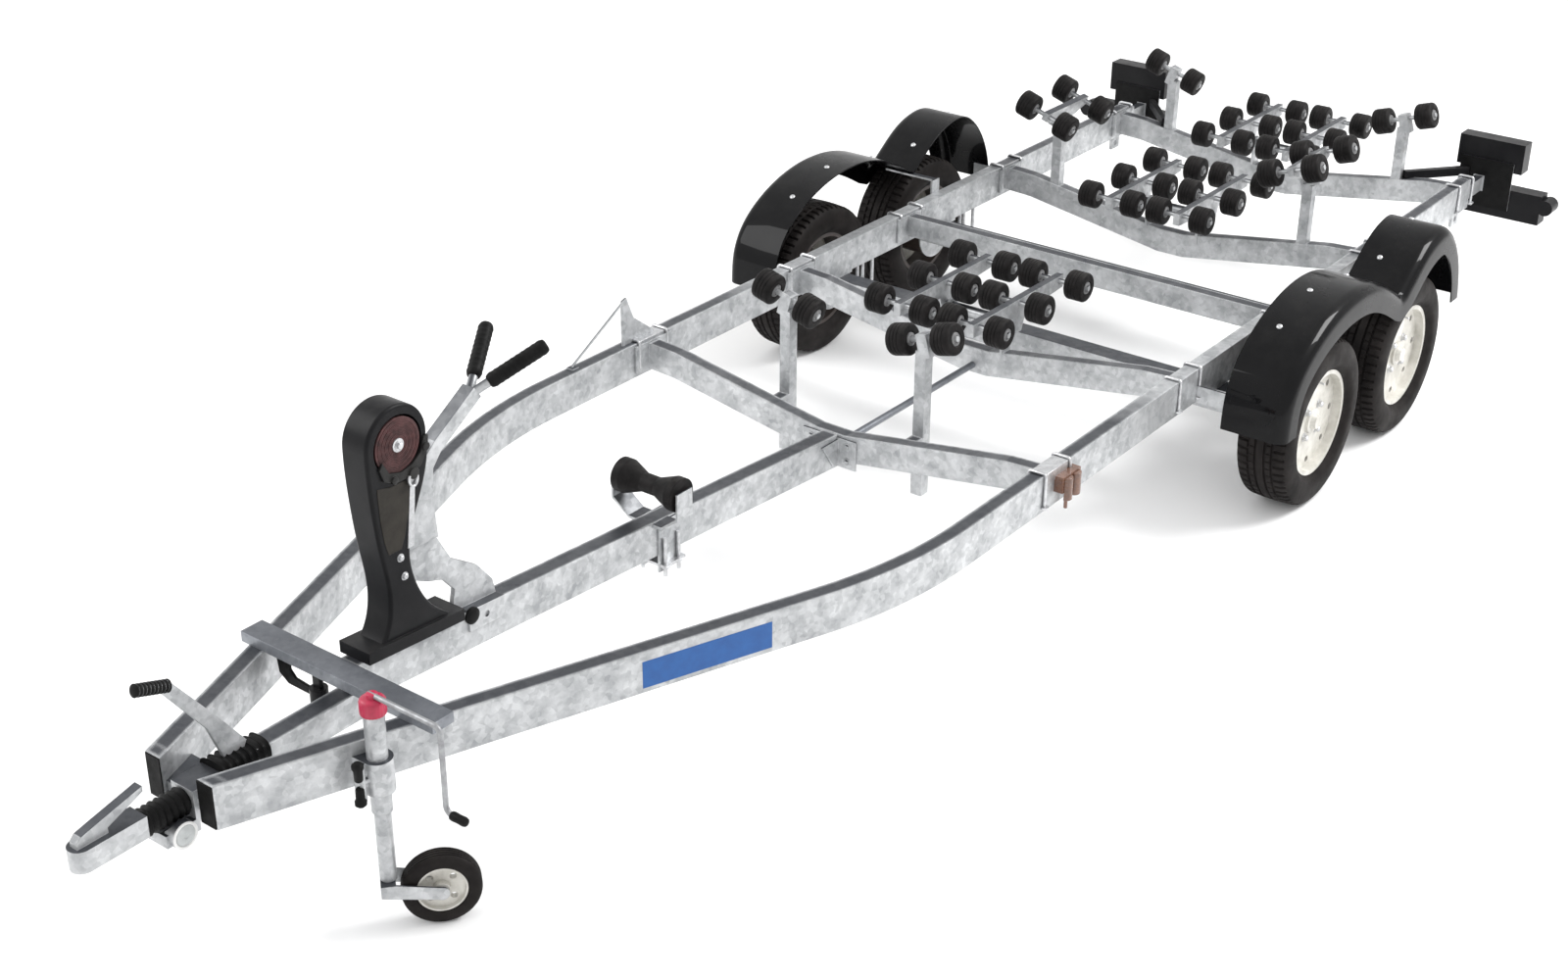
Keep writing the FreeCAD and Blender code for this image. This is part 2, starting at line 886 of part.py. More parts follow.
def keel_bracket():
    top = beam_top(keel_station)
    foot_low = top - beam_height - keel_foot_drop
    inner = keel_half_length + side_gap
    outer = inner + keel_plate_thickness
    parts = []
    for side in (-1, 1):
        parts.append(front_prism(
            [
                (side * beam_half_width, top - keel_plate_thickness * 2),
                (side * keel_shelf_x, top - keel_plate_thickness),
                (side * outer, keel_knee_height - keel_plate_thickness),
                (side * outer, keel_height + keel_plate_half_y / 2),
                (side * inner, keel_height + keel_plate_half_y / 2),
                (side * inner, keel_knee_height),
                (side * keel_shelf_x, top),
                (side * beam_half_width, top),
            ],
            keel_station - keel_plate_half_y, keel_station + keel_plate_half_y,
        ))
        parts.append(side_box(
            side, beam_half_width, beam_half_width + keel_plate_thickness,
            keel_station - keel_foot_lead, keel_station + keel_foot_trail,
            foot_low, top - keel_plate_thickness,
        ))
    parts.append(rod_x(keel_pin_radius, -outer, outer, keel_station, keel_height))
    return fuse(parts)


def keel_roller():
    land = keel_half_length - keel_end_land
    bore = keel_pin_radius + running_fit
    profile = [
        (-keel_half_length, bore),
        (-keel_half_length, keel_end_radius),
        (-land, keel_end_radius),
        (-keel_end_land, keel_waist_radius),
        (keel_end_land, keel_waist_radius),
        (land, keel_end_radius),
        (keel_half_length, keel_end_radius),
        (keel_half_length, bore),
    ]
    return turned_x(profile, keel_station, keel_height)


save("keel_bracket", keel_bracket())
save("keel_roller", keel_roller())

tower_base = beam_top(tower_front)


def tower_place(share):
    return (tower_front + share[0] * tower_length, tower_base + share[1] * tower_rise)


def tower_vector(share, x):
    y, z = tower_place(share)
    return vector(x, y, z)


reel_station, reel_height = tower_place(reel_place_share)
reel_radius = reel_radius_share * tower_length
reel_inner_x = tower_half_width - reel_width
foot_front = tower_front - tower_foot_margin
foot_rear = tower_front + tower_length + tower_foot_margin


def tower_shell():
    x = -tower_half_width
    front = [tower_vector(share, x) for share in tower_front_shares]
    rear = [tower_vector(share, x) for share in tower_rear_shares]
    edges = [
        curve(front),
        arc(front[-1], tower_vector(tower_crown_share, x), rear[0]),
        curve(rear),
        line(rear[-1], front[0]),
    ]
    shell = Part.Face(Part.Wire(edges)).extrude(vector(tower_half_width * 2, 0, 0))
    rims = []
    for edge in shell.Edges:
        middle = edge.CenterOfMass
        if abs(abs(middle.x) - tower_half_width) < running_fit and middle.z > tower_base + tower_edge_radius:
            rims.append(edge)
    return shell.makeFillet(tower_edge_radius, rims)


def tower_body():
    foot = side_prism(
        [
            (foot_front, beam_top(foot_front)),
            (foot_rear, beam_top(foot_rear)),
            (foot_rear, beam_top(foot_rear) + tower_foot_height),
            (foot_front, beam_top(foot_front) + tower_foot_height),
        ],
        -tower_foot_half, tower_foot_half,
    )
    pocket_x = reel_inner_x - reel_gap
    pocket = rod_x(reel_radius + reel_gap, pocket_x, tower_half_width, reel_station, reel_height)
    pin = rod_x(reel_pin_radius, pocket_x, tower_half_width, reel_station, reel_height)
    return fuse([tower_shell(), foot]).cut(pocket).fuse(pin)


def winch_reel():
    bore = reel_pin_radius + running_fit
    wound = reel_radius - reel_gap
    profile = [
        (reel_inner_x, bore),
        (reel_inner_x, reel_radius),
        (reel_inner_x + reel_flange, reel_radius),
        (reel_inner_x + reel_flange, wound),
        (tower_half_width - reel_flange, wound),
        (tower_half_width - reel_flange, reel_radius),
        (tower_half_width, reel_radius),
        (tower_half_width, bore),
    ]
    return turned_x(profile, reel_station, reel_height)


tower = tower_body()
save("winch_tower", tower)
save("winch_reel", winch_reel())

horn_root_y, horn_root_z = tower_place(horn_root_share)


def horn_ends(side):
    root = vector(side * horn_root_x, horn_root_y, horn_root_z)
    tip = vector(side * horn_tip_x, horn_root_y + horn_reach, horn_root_z + horn_rise)
    return root, tip


def stand_saddle(rear):
    front = rear - stand_saddle_length
    reach = beam_half_width + stand_saddle_thickness
    outer = [
        (front, beam_top(front) + stand_saddle_thickness),
        (rear, beam_top(rear) + stand_saddle_thickness),
        (rear, beam_top(rear) - stand_saddle_drop),
        (front, beam_top(front) - stand_saddle_drop),
    ]
    inner = [
        (front, beam_top(front)),
        (rear, beam_top(rear)),
        (rear, beam_top(rear) - stand_saddle_drop),
        (front, beam_top(front) - stand_saddle_drop),
    ]
    middle = (front + rear) / 2
    bolt_hole = rod_x(stand_bolt_radius, -reach, reach, middle, beam_top(middle) - stand_bolt_drop)
    saddle = side_prism(outer, -reach, reach).cut(side_prism(inner, -beam_half_width, beam_half_width))
    return saddle.cut(bolt_hole)


def bow_stand():
    gusset_end = tower_place((stand_foot_share, 0))[0]
    gusset_points = [(foot_rear, beam_top(foot_rear)), (gusset_end, beam_top(gusset_end))]
    gusset_points += [tower_place(share) for share in stand_gusset_shares]
    gusset = side_prism(gusset_points, -stand_half, stand_half)
    arm = side_prism([tower_place(share) for share in stand_arm_shares], -stand_arm_half, stand_arm_half)
    shapes = [gusset, arm, stand_saddle(gusset_end)]
    for side in (-1, 1):
        root, tip = horn_ends(side)
        shapes.append(cylinder(horn_radius, root, tip))
    return fuse(shapes).cut(tower)


def bow_pad():
    root, tip = horn_ends(1)
    run = tip - root
    pad = cylinder(pad_radius, root + run * pad_start_share, tip + run * pad_end_share)
    return pad.cut(cylinder(horn_radius + running_fit, root, tip + run * horn_cover_share))


save("bow_stand", bow_stand())
save("bow_pads", both_sides(bow_pad()))

shaft_rear = (housing_front + housing_rear) / 2


def overrun_housing():
    body = box(
        -housing_half_width, housing_half_width, housing_front, housing_rear, housing_bottom, housing_top,
    )
    front_reach = rail_edge(rail_width, housing_flange_front)
    rear_reach = rail_edge(rail_width, housing_rear)
    wing = [
        (-front_reach, housing_flange_front),
        (front_reach, housing_flange_front),
        (rear_reach, housing_rear),
        (-rear_reach, housing_rear),
    ]
    flange = plan_prism(
        wing, shaft_height - housing_flange_half_height, shaft_height + housing_flange_half_height,
    )
    disc = rod_x(
        drum_cap_radius, housing_half_width - drum_cap_thickness, housing_half_width + drum_cap_thickness,
        drum_cap_station, drum_cap_height,
    )
    sole = box(
        -housing_half_width, housing_half_width, sole_front, housing_flange_front, sole_bottom, sole_top,
    )
    heel = box(
        -housing_half_width, housing_half_width, housing_front, housing_flange_front, sole_bottom, housing_top,
    )
    shaft_hole = rod_y(shaft_radius, housing_front, shaft_rear, 0, shaft_height)
    bellows_room = rod_y(bellows_radius + side_gap, bellows_front, housing_front, 0, shaft_height)
    return fuse([body, flange, sole, heel, disc]).cut(shaft_hole).cut(bellows_room)


def bellows():
    pitch = (housing_front - bellows_front) / bellows_folds
    points = []
    for fold in range(bellows_folds):
        start = bellows_front + fold * pitch
        points.append((start, bellows_root_radius))
        points.append((start + pitch / 2, bellows_radius))
    points.append((housing_front, bellows_root_radius))
    points.append((housing_front, shaft_radius))
    points.append((bellows_front, shaft_radius))
    corners = [vector(0, y, shaft_height + radius) for y, radius in points]
    face = Part.Face(Part.makePolygon(corners + [corners[0]]))
    return face.revolve(vector(0, 0, shaft_height), vector(0, 1, 0), 360)


def coupling_head():
    nose = rod_z(head_half_width, head_bottom, head_top, 0, head_half_width)
    body = box(-head_half_width, head_half_width, head_half_width, bellows_front, head_bottom, head_top)
    shaft = rod_y(shaft_radius, bellows_front, shaft_rear, 0, shaft_height)
    cup = ball_radius + ball_fit
    ball = Part.makeSphere(cup, vector(0, ball_station, shaft_height))
    mouth = rod_z(cup, head_bottom, shaft_height, 0, ball_station)
    return fuse([nose, body, shaft]).cut(ball).cut(mouth)


def coupling_handle():
    z = head_top
    t = handle_thickness
    return side_prism(
        [
            (t, z), (handle_root - t, z), (handle_root - t, z + t), (handle_rear, z + t * 4),
            (handle_rear, z + t * 5), (handle_root - t * 2, z + t * 3), (t * 2, z + t * 2), (t, z + t),
        ],
        -handle_half_width, handle_half_width,
    )


save("overrun_housing", overrun_housing())
save("overrun_bellows", bellows())
save("coupling_head", fuse([coupling_head(), coupling_handle()]))


def lever_place(share):
    return (lever_front + share[0] * lever_reach, nose_tube_top + share[1] * lever_rise)


def handbrake_lever():
    blade = side_prism([lever_place(share) for share in lever_shares], -lever_half_width, lever_half_width)
    foot = box(
        -nose_tube_half_width, nose_tube_half_width, lever_foot_front, lever_foot_front + lever_foot_length,
        nose_tube_top, nose_tube_top + lever_half_width,
    )
    start_y, start_z = lever_place(grip_start_share)
    end_y, end_z = lever_place(grip_end_share)
    grip = cylinder(grip_radius, vector(0, start_y, start_z), vector(0, end_y, end_z))
    return fuse([blade, foot, grip])


save("handbrake_lever", handbrake_lever())


def parked_plug():
    y = (crossbar_front + beam_front) / 2
    half = plug_hanger_half
    top = rail_top - plug_drop
    bottom = top - plug_length
    hanger = box(-plug_x - half, -plug_x + half, y - half / 2, y + half / 2, top, rail_top)
    body = rod_z(plug_radius, bottom, top, -plug_x, y)
    cable = rod_z(plug_cable_radius, bottom - plug_cable_length, bottom, -plug_x, y)
    return fuse([hanger, body, cable])


save("parked_plug", parked_plug())

jockey_x = rail_edge(0, jockey_station) + jockey_offset


def jockey_rod(radius, z_low, z_high):
    return rod_z(radius, z_low, z_high, jockey_x, jockey_station)


def jockey_clamp():
    low = clamp_middle - clamp_height / 2
    high = clamp_middle + clamp_height / 2
    outer = jockey_tube_radius + clamp_wall
    front = jockey_station - outer
    rear = jockey_station + outer
    bridge = plan_prism(
        [(rail_edge(0, front), front), (jockey_x, front), (jockey_x, rear), (rail_edge(0, rear), rear)],
        low, high,
    )
    bar_station = front - clamp_handle_gap
    screw = rod_y(clamp_handle_radius, bar_station, jockey_station, jockey_x, clamp_middle)
    bar = rod_z(
        clamp_handle_radius, clamp_middle - clamp_handle_half, clamp_middle + clamp_handle_half,
        jockey_x, bar_station,
    )
    bore = jockey_rod(jockey_tube_radius + running_fit, low - clamp_height, high + clamp_height)
    clamp = fuse([jockey_rod(outer, low, high), bridge, screw, bar])
    return clamp.cut(bore).cut(rail_bar(rail_bottom, rail_top))


def jockey_tube():
    bore = jockey_rod(jockey_leg_radius + running_fit, jockey_tube_bottom, jockey_tube_top - clamp_wall)
    return jockey_rod(jockey_tube_radius, jockey_tube_bottom, jockey_tube_top).cut(bore)


def jockey_head():
    r = jockey_crank_radius
    cap_top = jockey_tube_top + jockey_cap_height
    z = cap_top + r
    elbow = vector(jockey_x + jockey_crank_reach, jockey_station, z)
    ankle = vector(jockey_x + jockey_crank_reach, jockey_station, z - jockey_crank_drop)
    return fuse([
        jockey_rod(jockey_cap_radius, jockey_tube_top, cap_top),
        jockey_rod(r * 2, cap_top, cap_top + r * 2),
        cylinder(r, vector(jockey_x, jockey_station, z), elbow),
        Part.makeSphere(r, elbow),
        cylinder(r, elbow, ankle),
        Part.makeSphere(r, ankle),
        cylinder(jockey_grip_radius, ankle, ankle + vector(jockey_grip_length, 0, 0)),
    ])


def jockey_leg():
    hole = jockey_rod(
        jockey_swivel_radius + running_fit, jockey_leg_bottom,
        jockey_leg_bottom + jockey_swivel_length + clamp_wall,
    )
    return jockey_rod(jockey_leg_radius, jockey_leg_bottom, jockey_leg_top).cut(hole)


save("jockey_clamp", jockey_clamp())
save("jockey_tube", jockey_tube())
save("jockey_head", jockey_head())
save("jockey_leg", jockey_leg())

jockey_axle_station = jockey_station + jockey_trail
jockey_half = jockey_wheel_width / 2


def yawed(shape):
    copy = shape.copy()
    copy.rotate(vector(jockey_x, jockey_station, 0), vector(0, 0, 1), -jockey_yaw_deg)
    return copy


def jockey_fork():
    x = jockey_x
    top = jockey_leg_bottom - jockey_crown_gap
    inner = jockey_half + side_gap
    outer = inner + jockey_plate_thickness
    front = jockey_station - jockey_leg_radius
    crown = box(
        x - outer, x + outer, front, jockey_station + jockey_crown_rear, top - jockey_crown_thickness, top,
    )
    plate_points = [
        (front, top),
        (jockey_station + jockey_crown_rear, top),
        (jockey_axle_station, jockey_wheel_radius + jockey_eye_radius),
        (jockey_axle_station, jockey_wheel_radius - jockey_eye_radius),
        (front, top - jockey_plate_depth),
    ]
    parts = [crown, jockey_rod(jockey_swivel_radius, top, top + jockey_swivel_length)]
    for low in (x - outer, x + inner):
        high = low + jockey_plate_thickness
        parts.append(side_prism(plate_points, low, high))
        parts.append(rod_x(jockey_eye_radius, low, high, jockey_axle_station, jockey_wheel_radius))
    parts.append(rod_x(jockey_axle_radius, x - outer, x + outer, jockey_axle_station, jockey_wheel_radius))
    return yawed(fuse(parts))


def jockey_rim():
    x = jockey_x
    bore = jockey_axle_radius + running_fit
    web = jockey_half * jockey_web_share
    seat = jockey_half * jockey_seat_share
    barrel = jockey_rim_radius - jockey_plate_thickness
    profile = [
        (x - jockey_half, bore),
        (x - jockey_half, jockey_hub_radius),
        (x - web, jockey_hub_radius),
        (x - web, barrel),
        (x - seat, barrel),
        (x - seat, jockey_rim_radius),
        (x + seat, jockey_rim_radius),
        (x + seat, barrel),
        (x + web, barrel),
        (x + web, jockey_hub_radius),
        (x + jockey_half, jockey_hub_radius),
        (x + jockey_half, bore),
    ]
    rim = turned_x(profile, jockey_axle_station, jockey_wheel_radius)
    for index in range(jockey_hole_count):
        angle = math.pi * (2 * index + 1) / jockey_hole_count
        y = jockey_axle_station + jockey_hole_circle * math.cos(angle)
        z = jockey_wheel_radius + jockey_hole_circle * math.sin(angle)
        rim = rim.cut(rod_x(jockey_hole_radius, x - jockey_half, x + jockey_half, y, z))
    return yawed(rim)


def jockey_tyre():
    wall = jockey_wheel_radius - jockey_rim_radius
    right = [
        (jockey_half * jockey_seat_share, jockey_rim_radius),
        (jockey_half, jockey_rim_radius + wall * jockey_shoulder_share),
        (jockey_half, jockey_wheel_radius - wall * jockey_shoulder_share),
        (jockey_half * jockey_tread_share, jockey_wheel_radius),
    ]
    profile = [(jockey_x + offset, radius) for offset, radius in right]
    profile += [(jockey_x - offset, radius) for offset, radius in reversed(right)]
    return yawed(turned_x(profile, jockey_axle_station, jockey_wheel_radius))


save("jockey_fork", jockey_fork())
save("jockey_rim", jockey_rim())
save("jockey_tyre", jockey_tyre())

axle_height = rail_bottom - axle_saddle_thickness - axle_half
arm_inner_x = wheel_middle_x - arm_inner_reach
arm_outer_x = wheel_middle_x - arm_outer_reach
backplate_x = wheel_middle_x - backplate_reach
drum_inner_x = wheel_middle_x - drum_reach
spindle_end_x = wheel_middle_x + spindle_overrun


def axle_beam(wheel_station):
    y = wheel_station - arm_trail
    parts = [box(
        -arm_inner_x, arm_inner_x, y - axle_half, y + axle_half,
        axle_height - axle_half, axle_height + axle_half,
    )]
    for side in (-1, 1):
        parts.append(side_box(
            side, rail_inner, rail_outer, y - axle_saddle_half_y, y + axle_saddle_half_y,
            rail_bottom - axle_saddle_thickness, rail_bottom,
        ))
    return fuse(parts)


def swing_arm(wheel_station):
    y = wheel_station - arm_trail
    root_half = arm_root_radius * arm_web_share
    tip_half = arm_tip_radius * arm_web_share
    web = side_prism(
        [
            (y, axle_height + root_half),
            (wheel_station, wheel_radius + tip_half),
            (wheel_station, wheel_radius - tip_half),
            (y, axle_height - root_half),
        ],
        arm_inner_x, arm_outer_x,
    )
    return fuse([
        rod_x(arm_root_radius, arm_inner_x, arm_outer_x, y, axle_height),
        rod_x(arm_tip_radius, arm_inner_x, arm_outer_x, wheel_station, wheel_radius),
        web,
        rod_x(arm_tip_radius, arm_outer_x, backplate_x, wheel_station, wheel_radius),
        rod_x(backplate_radius, backplate_x, backplate_x + backplate_thickness, wheel_station, wheel_radius),
        rod_x(spindle_radius, backplate_x, spindle_end_x, wheel_station, wheel_radius),
    ])


def rim(wheel_station):
    seat_low = wheel_middle_x - rim_half_width
    seat_high = wheel_middle_x + rim_half_width
    barrel = rim_seat_radius - rim_barrel_thickness
    disc_low = wheel_middle_x + rim_disc_offset
    disc_high = disc_low + rim_disc_thickness
    bearing_end = spindle_end_x + side_gap
    bore = spindle_radius + running_fit
    profile = [
        (seat_low, barrel),
        (seat_low, rim_flange_radius),
        (seat_low + rim_flange_thickness, rim_flange_radius),
        (seat_low + rim_flange_thickness, rim_seat_radius),
        (seat_high - rim_flange_thickness, rim_seat_radius),
        (seat_high - rim_flange_thickness, rim_flange_radius),
        (seat_high, rim_flange_radius),
        (seat_high, barrel),
        (disc_high, barrel),
        (disc_high, hub_radius),
        (disc_high + hub_step, hub_radius),
        (disc_high + hub_step, hub_cap_radius),
        (disc_high + hub_cap_length, hub_cap_tip_radius),
        (disc_high + hub_cap_length, 0),
        (bearing_end, 0),
        (bearing_end, bore),
        (drum_inner_x, bore),
        (drum_inner_x, hub_radius),
        (disc_low - drum_wall, hub_radius),
        (disc_low - drum_wall, drum_radius - drum_wall),
        (drum_inner_x, drum_radius - drum_wall),
        (drum_inner_x, drum_radius),
        (disc_low, drum_radius),
        (disc_low, barrel),
    ]
    body = turned_x(profile, wheel_station, wheel_radius)
    for index in range(rim_hole_count):
        angle = 2 * math.pi * index / rim_hole_count
        y = wheel_station + rim_hole_circle * math.cos(angle)
        z = wheel_radius + rim_hole_circle * math.sin(angle)
        body = body.cut(rod_x(rim_hole_radius, disc_low, disc_high, y, z))
    return body


def tyre(wheel_station):
    half = tyre_width / 2
    wall = wheel_radius - rim_seat_radius
    bead = rim_half_width - rim_flange_thickness
    right = [(bead, rim_seat_radius), (bead, rim_flange_radius), (rim_half_width, rim_flange_radius)]
    right += [(half * across, rim_seat_radius + wall * up) for across, up in tyre_shares]
    profile = [(wheel_middle_x + offset, radius) for offset, radius in right]
    profile += [(wheel_middle_x - offset, radius) for offset, radius in reversed(right)]
    return turned_x(profile, wheel_station, wheel_radius)


for label, station in (("front", front_axle_station), ("rear", rear_axle_station)):
    arm = swing_arm(station)
    save("axle_" + label, fuse([axle_beam(station), arm, mirrored(arm)]))
    save_pair("rim_" + label, rim(station))
    save_pair("tyre_" + label, tyre(station))

guard_outer_x = overall_width / 2
guard_inner_x = guard_outer_x - guard_width
guard_front = front_axle_station - guard_front_reach
guard_rear = rear_axle_station + guard_rear_reach
guard_valley_station = rear_axle_station - guard_valley_lead
guard_rise = guard_top - guard_front_bottom
guard_valley = guard_front_bottom + guard_rear_shares[0][1] * guard_rise
guard_rear_bottom = guard_front_bottom + guard_rear_shares[-1][1] * guard_rise


def guard_hump(shares, start, end, depth):
    points = [(start + along * (end - start), guard_front_bottom + up * guard_rise) for along, up in shares]
    moved = []
    for index, (y, z) in enumerate(points):
        before = points[max(index - 1, 0)]
        after = points[min(index + 1, len(points) - 1)]
        run = after[0] - before[0]
        climb = after[1] - before[1]
        length = math.hypot(run, climb)
        moved.append((y + climb / length * depth, z - run / length * depth))
    return moved


def guard_outline(depth):
    front = guard_hump(guard_front_shares, guard_front, guard_valley_station, depth)
    rear = guard_hump(guard_rear_shares, guard_valley_station, guard_rear, depth)
    front[0] = (guard_front + depth, guard_front_bottom)
    rear[-1] = (guard_rear - depth, guard_rear_bottom)
    valley = (guard_valley_station, guard_valley - depth)
    front[-1] = valley
    rear[0] = valley
    return front, rear


def guard_band(depth, x_low, x_high):
    outer_front, outer_rear = guard_outline(0)
    inner_front, inner_rear = guard_outline(depth)
    outlines = (outer_front, outer_rear, inner_rear, inner_front)
    humps = [[vector(x_low, y, z) for y, z in hump] for hump in outlines]
    edges = [curve(hump) for hump in humps]
    edges += [line(humps[1][-1], humps[2][-1]), line(humps[3][0], humps[0][0])]
    return Part.Face(Part.Wire(Part.sortEdges(edges)[0])).extrude(vector(x_high - x_low, 0, 0))


def mudguard():
    sheet = guard_band(guard_thickness, guard_inner_x, guard_outer_x)
    lip = guard_band(guard_lip_depth, guard_outer_x - guard_thickness, guard_outer_x)
    return fuse([sheet, lip])


guard = mudguard()
save_pair("mudguard", guard)


def guard_brackets():
    t = guard_bracket_thickness
    low = guard_rear_bottom + t
    high = low + guard_bracket_height
    reach = guard_outer_x - guard_lip_depth
    half = guard_strap_half_y
    y = guard_valley_station
    top = guard_valley - guard_thickness
    lug_reach = guard_inner_x + guard_lug_lap
    front_y = guard_front + guard_lug_setback
    rear_y = guard_rear - guard_lug_setback
    front = box(rail_outer, lug_reach, front_y, front_y + t, low, high).cut(guard)
    rear = box(rail_outer, lug_reach, rear_y - t, rear_y, low, high).cut(guard)
    strap = box(rail_outer, rail_outer + t, y - half, y + half, rail_bottom + t, top)
    arm = box(rail_outer, reach, y - half / 2, y + half / 2, top - t, top)
    return Part.makeCompound([front.Solids[0], rear.Solids[0], fuse([strap, arm]).cut(guard).Solids[0]])


save("guard_brackets", both_sides(guard_brackets()))

lamp_rear = overall_length - lens_depth
lamp_front = lamp_rear - lamp_depth
plate_front = lamp_front - lamp_plate_thickness
lamp_plate_inner = rail_outer - lamp_plate_inner_lap
lamp_plate_outer = rail_outer + lamp_plate_outer_lap
lamp_upper_inner = rail_outer - lamp_upper_lap
lamp_upper_outer = overall_width / 2 - lamp_upper_inset
lamp_lower_inner = rail_outer - lamp_lower_lap
lamp_lower_outer = overall_width / 2 - lamp_lower_inset
marker_reach = overall_width / 2 - marker_radius - marker_inset


def lamp_bracket():
    plate = box(
        lamp_plate_inner, lamp_plate_outer, plate_front, lamp_front, lamp_plate_bottom, lamp_plate_top,
    )
    wall = rail_wall + lamp_arm_clearance
    arm = box(
        rail_inner + wall, rail_outer - wall, rail_rear - rail_pocket,
        lamp_front, lamp_arm_bottom, lamp_arm_top,
    )
    return fuse([plate, arm])


def lamp_housing():
    upper = box(lamp_upper_inner, lamp_upper_outer, lamp_front, lamp_rear, lamp_upper_bottom, lamp_upper_top)
    lower = box(lamp_lower_inner, lamp_lower_outer, lamp_front, lamp_rear, lamp_lower_bottom, lamp_lower_top)
    y = (lamp_front + lamp_rear) / 2
    z = lamp_lower_top - marker_drop
    r = marker_arm_radius
    arm = box(lamp_lower_outer, marker_reach, y - r, y + r, z - r, z + r)
    bulb = rod_y(marker_radius, lamp_front, lamp_rear, marker_reach, z)
    return Part.makeCompound([upper, fuse([lower, arm, bulb])])


def lamp_lens():
    m = lens_margin
    upper = box(
        lamp_upper_inner + m, lamp_upper_outer - m, lamp_rear,
        overall_length, lamp_upper_bottom + m, lamp_upper_top - m,
    )
    lower = box(
        lamp_lower_inner + m, lamp_lower_outer - m, lamp_rear,
        overall_length, lamp_lower_bottom + m, lamp_lower_top - m,
    )
    return Part.makeCompound([upper, lower])


save("lamp_brackets", both_sides(lamp_bracket()))
save("lamp_housings", both_sides(lamp_housing()))
save("lamp_lenses", both_sides(lamp_lens()))


def amber_marker():
    station = cross_front_station + amber_setback
    block = box(
        rail_outer, rail_outer + amber_depth, station - amber_half_length, station + amber_half_length,
        amber_low, amber_high,
    )
    stem = rod_z(
        amber_stem_radius, amber_low - amber_stem_length, amber_low, rail_outer + amber_depth / 2, station,
    )
    return fuse([block, stem])


save("amber_markers", both_sides(amber_marker()))
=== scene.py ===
"""Roller boat trailer with a moulded winch tower: finishes, fine detail, light and camera."""
import json
import logging
import math
from abc import ABC, abstractmethod
from collections.abc import Iterable, Iterator, Sequence
from dataclasses import dataclass, replace
from enum import Enum

import bpy
import numpy as np
from mathutils import Matrix, Vector


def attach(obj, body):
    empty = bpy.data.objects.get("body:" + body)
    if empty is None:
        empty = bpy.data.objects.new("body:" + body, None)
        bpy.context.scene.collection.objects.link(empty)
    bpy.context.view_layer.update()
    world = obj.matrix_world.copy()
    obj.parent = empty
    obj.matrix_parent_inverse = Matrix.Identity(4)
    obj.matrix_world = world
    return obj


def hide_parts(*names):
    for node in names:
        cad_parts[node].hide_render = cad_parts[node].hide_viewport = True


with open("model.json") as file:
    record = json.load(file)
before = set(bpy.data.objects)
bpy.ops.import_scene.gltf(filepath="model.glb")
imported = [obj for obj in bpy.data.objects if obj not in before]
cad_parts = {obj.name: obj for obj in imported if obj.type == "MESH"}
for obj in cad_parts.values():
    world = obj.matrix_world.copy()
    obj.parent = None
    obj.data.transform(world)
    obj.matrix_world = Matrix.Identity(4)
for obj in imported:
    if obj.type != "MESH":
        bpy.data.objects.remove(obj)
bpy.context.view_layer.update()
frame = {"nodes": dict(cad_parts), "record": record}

log = logging.getLogger("boat_trailer")

Colour = tuple[float, float, float]
Point = tuple[float, float, float]
Flat = tuple[float, float]
Profile = Sequence[Flat]
Socket = bpy.types.NodeSocket

HALF_LENGTH = 3.225
FULL_TURN = 2 * math.pi
QUARTER = math.pi / 2
OUTBOARD = (1.0, 0.0, 0.0)
FORWARD = (0.0, -1.0, 0.0)
DOWN = (0.0, 0.0, -1.0)
UP = (0.0, 0.0, 1.0)


class Side(Enum):
    """The two flanks of the trailer, as the sign of x."""

    RIGHT = 1
    LEFT = -1

    @property
    def label(self) -> str:
        """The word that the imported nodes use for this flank."""
        return self.name.lower()


def along(station: float) -> float:
    """Returns the frame's y for a station measured back from the coupling nose."""
    return station - HALF_LENGTH


def spots(x: np.ndarray | float, y: np.ndarray | float, z: np.ndarray | float) -> np.ndarray:
    """Returns points from three coordinates, each spread to their common shape."""
    return np.stack(np.broadcast_arrays(x, y, z), axis=-1)


# Surfaces


@dataclass
class Surface:
    """Corner points and faces of one or more closed skins."""

    points: np.ndarray
    faces: list[np.ndarray]

    @staticmethod
    def joined(parts: Iterable["Surface"]) -> "Surface":
        """Joins skins into one surface.

        Args:
            parts: the skins to put together.

        Returns:
            One surface that holds them all.
        """
        points: list[np.ndarray] = []
        faces: list[np.ndarray] = []
        start = 0
        for part in parts:
            points.append(part.points)
            faces.extend(block + start for block in part.faces)
            start += len(part.points)
        return Surface(np.concatenate(points), faces)

    def turned_over(self) -> "Surface":
        """Returns the surface with every face turned round."""
        return Surface(self.points, [block[:, ::-1] for block in self.faces])

    def on(self, side: Side) -> "Surface":
        """Gives the surface for one flank from the right-hand one: the left one is mirrored in x.

        Args:
            side: the flank wanted.

        Returns:
            The surface on that flank.
        """
        if side is Side.RIGHT:
            return self
        return Surface(self.points * np.array((-1.0, 1.0, 1.0)), self.faces).turned_over()

    def paired(self) -> "Surface":
        """Returns the right-hand surface together with the left-hand one."""
        return Surface.joined(self.on(side) for side in Side)


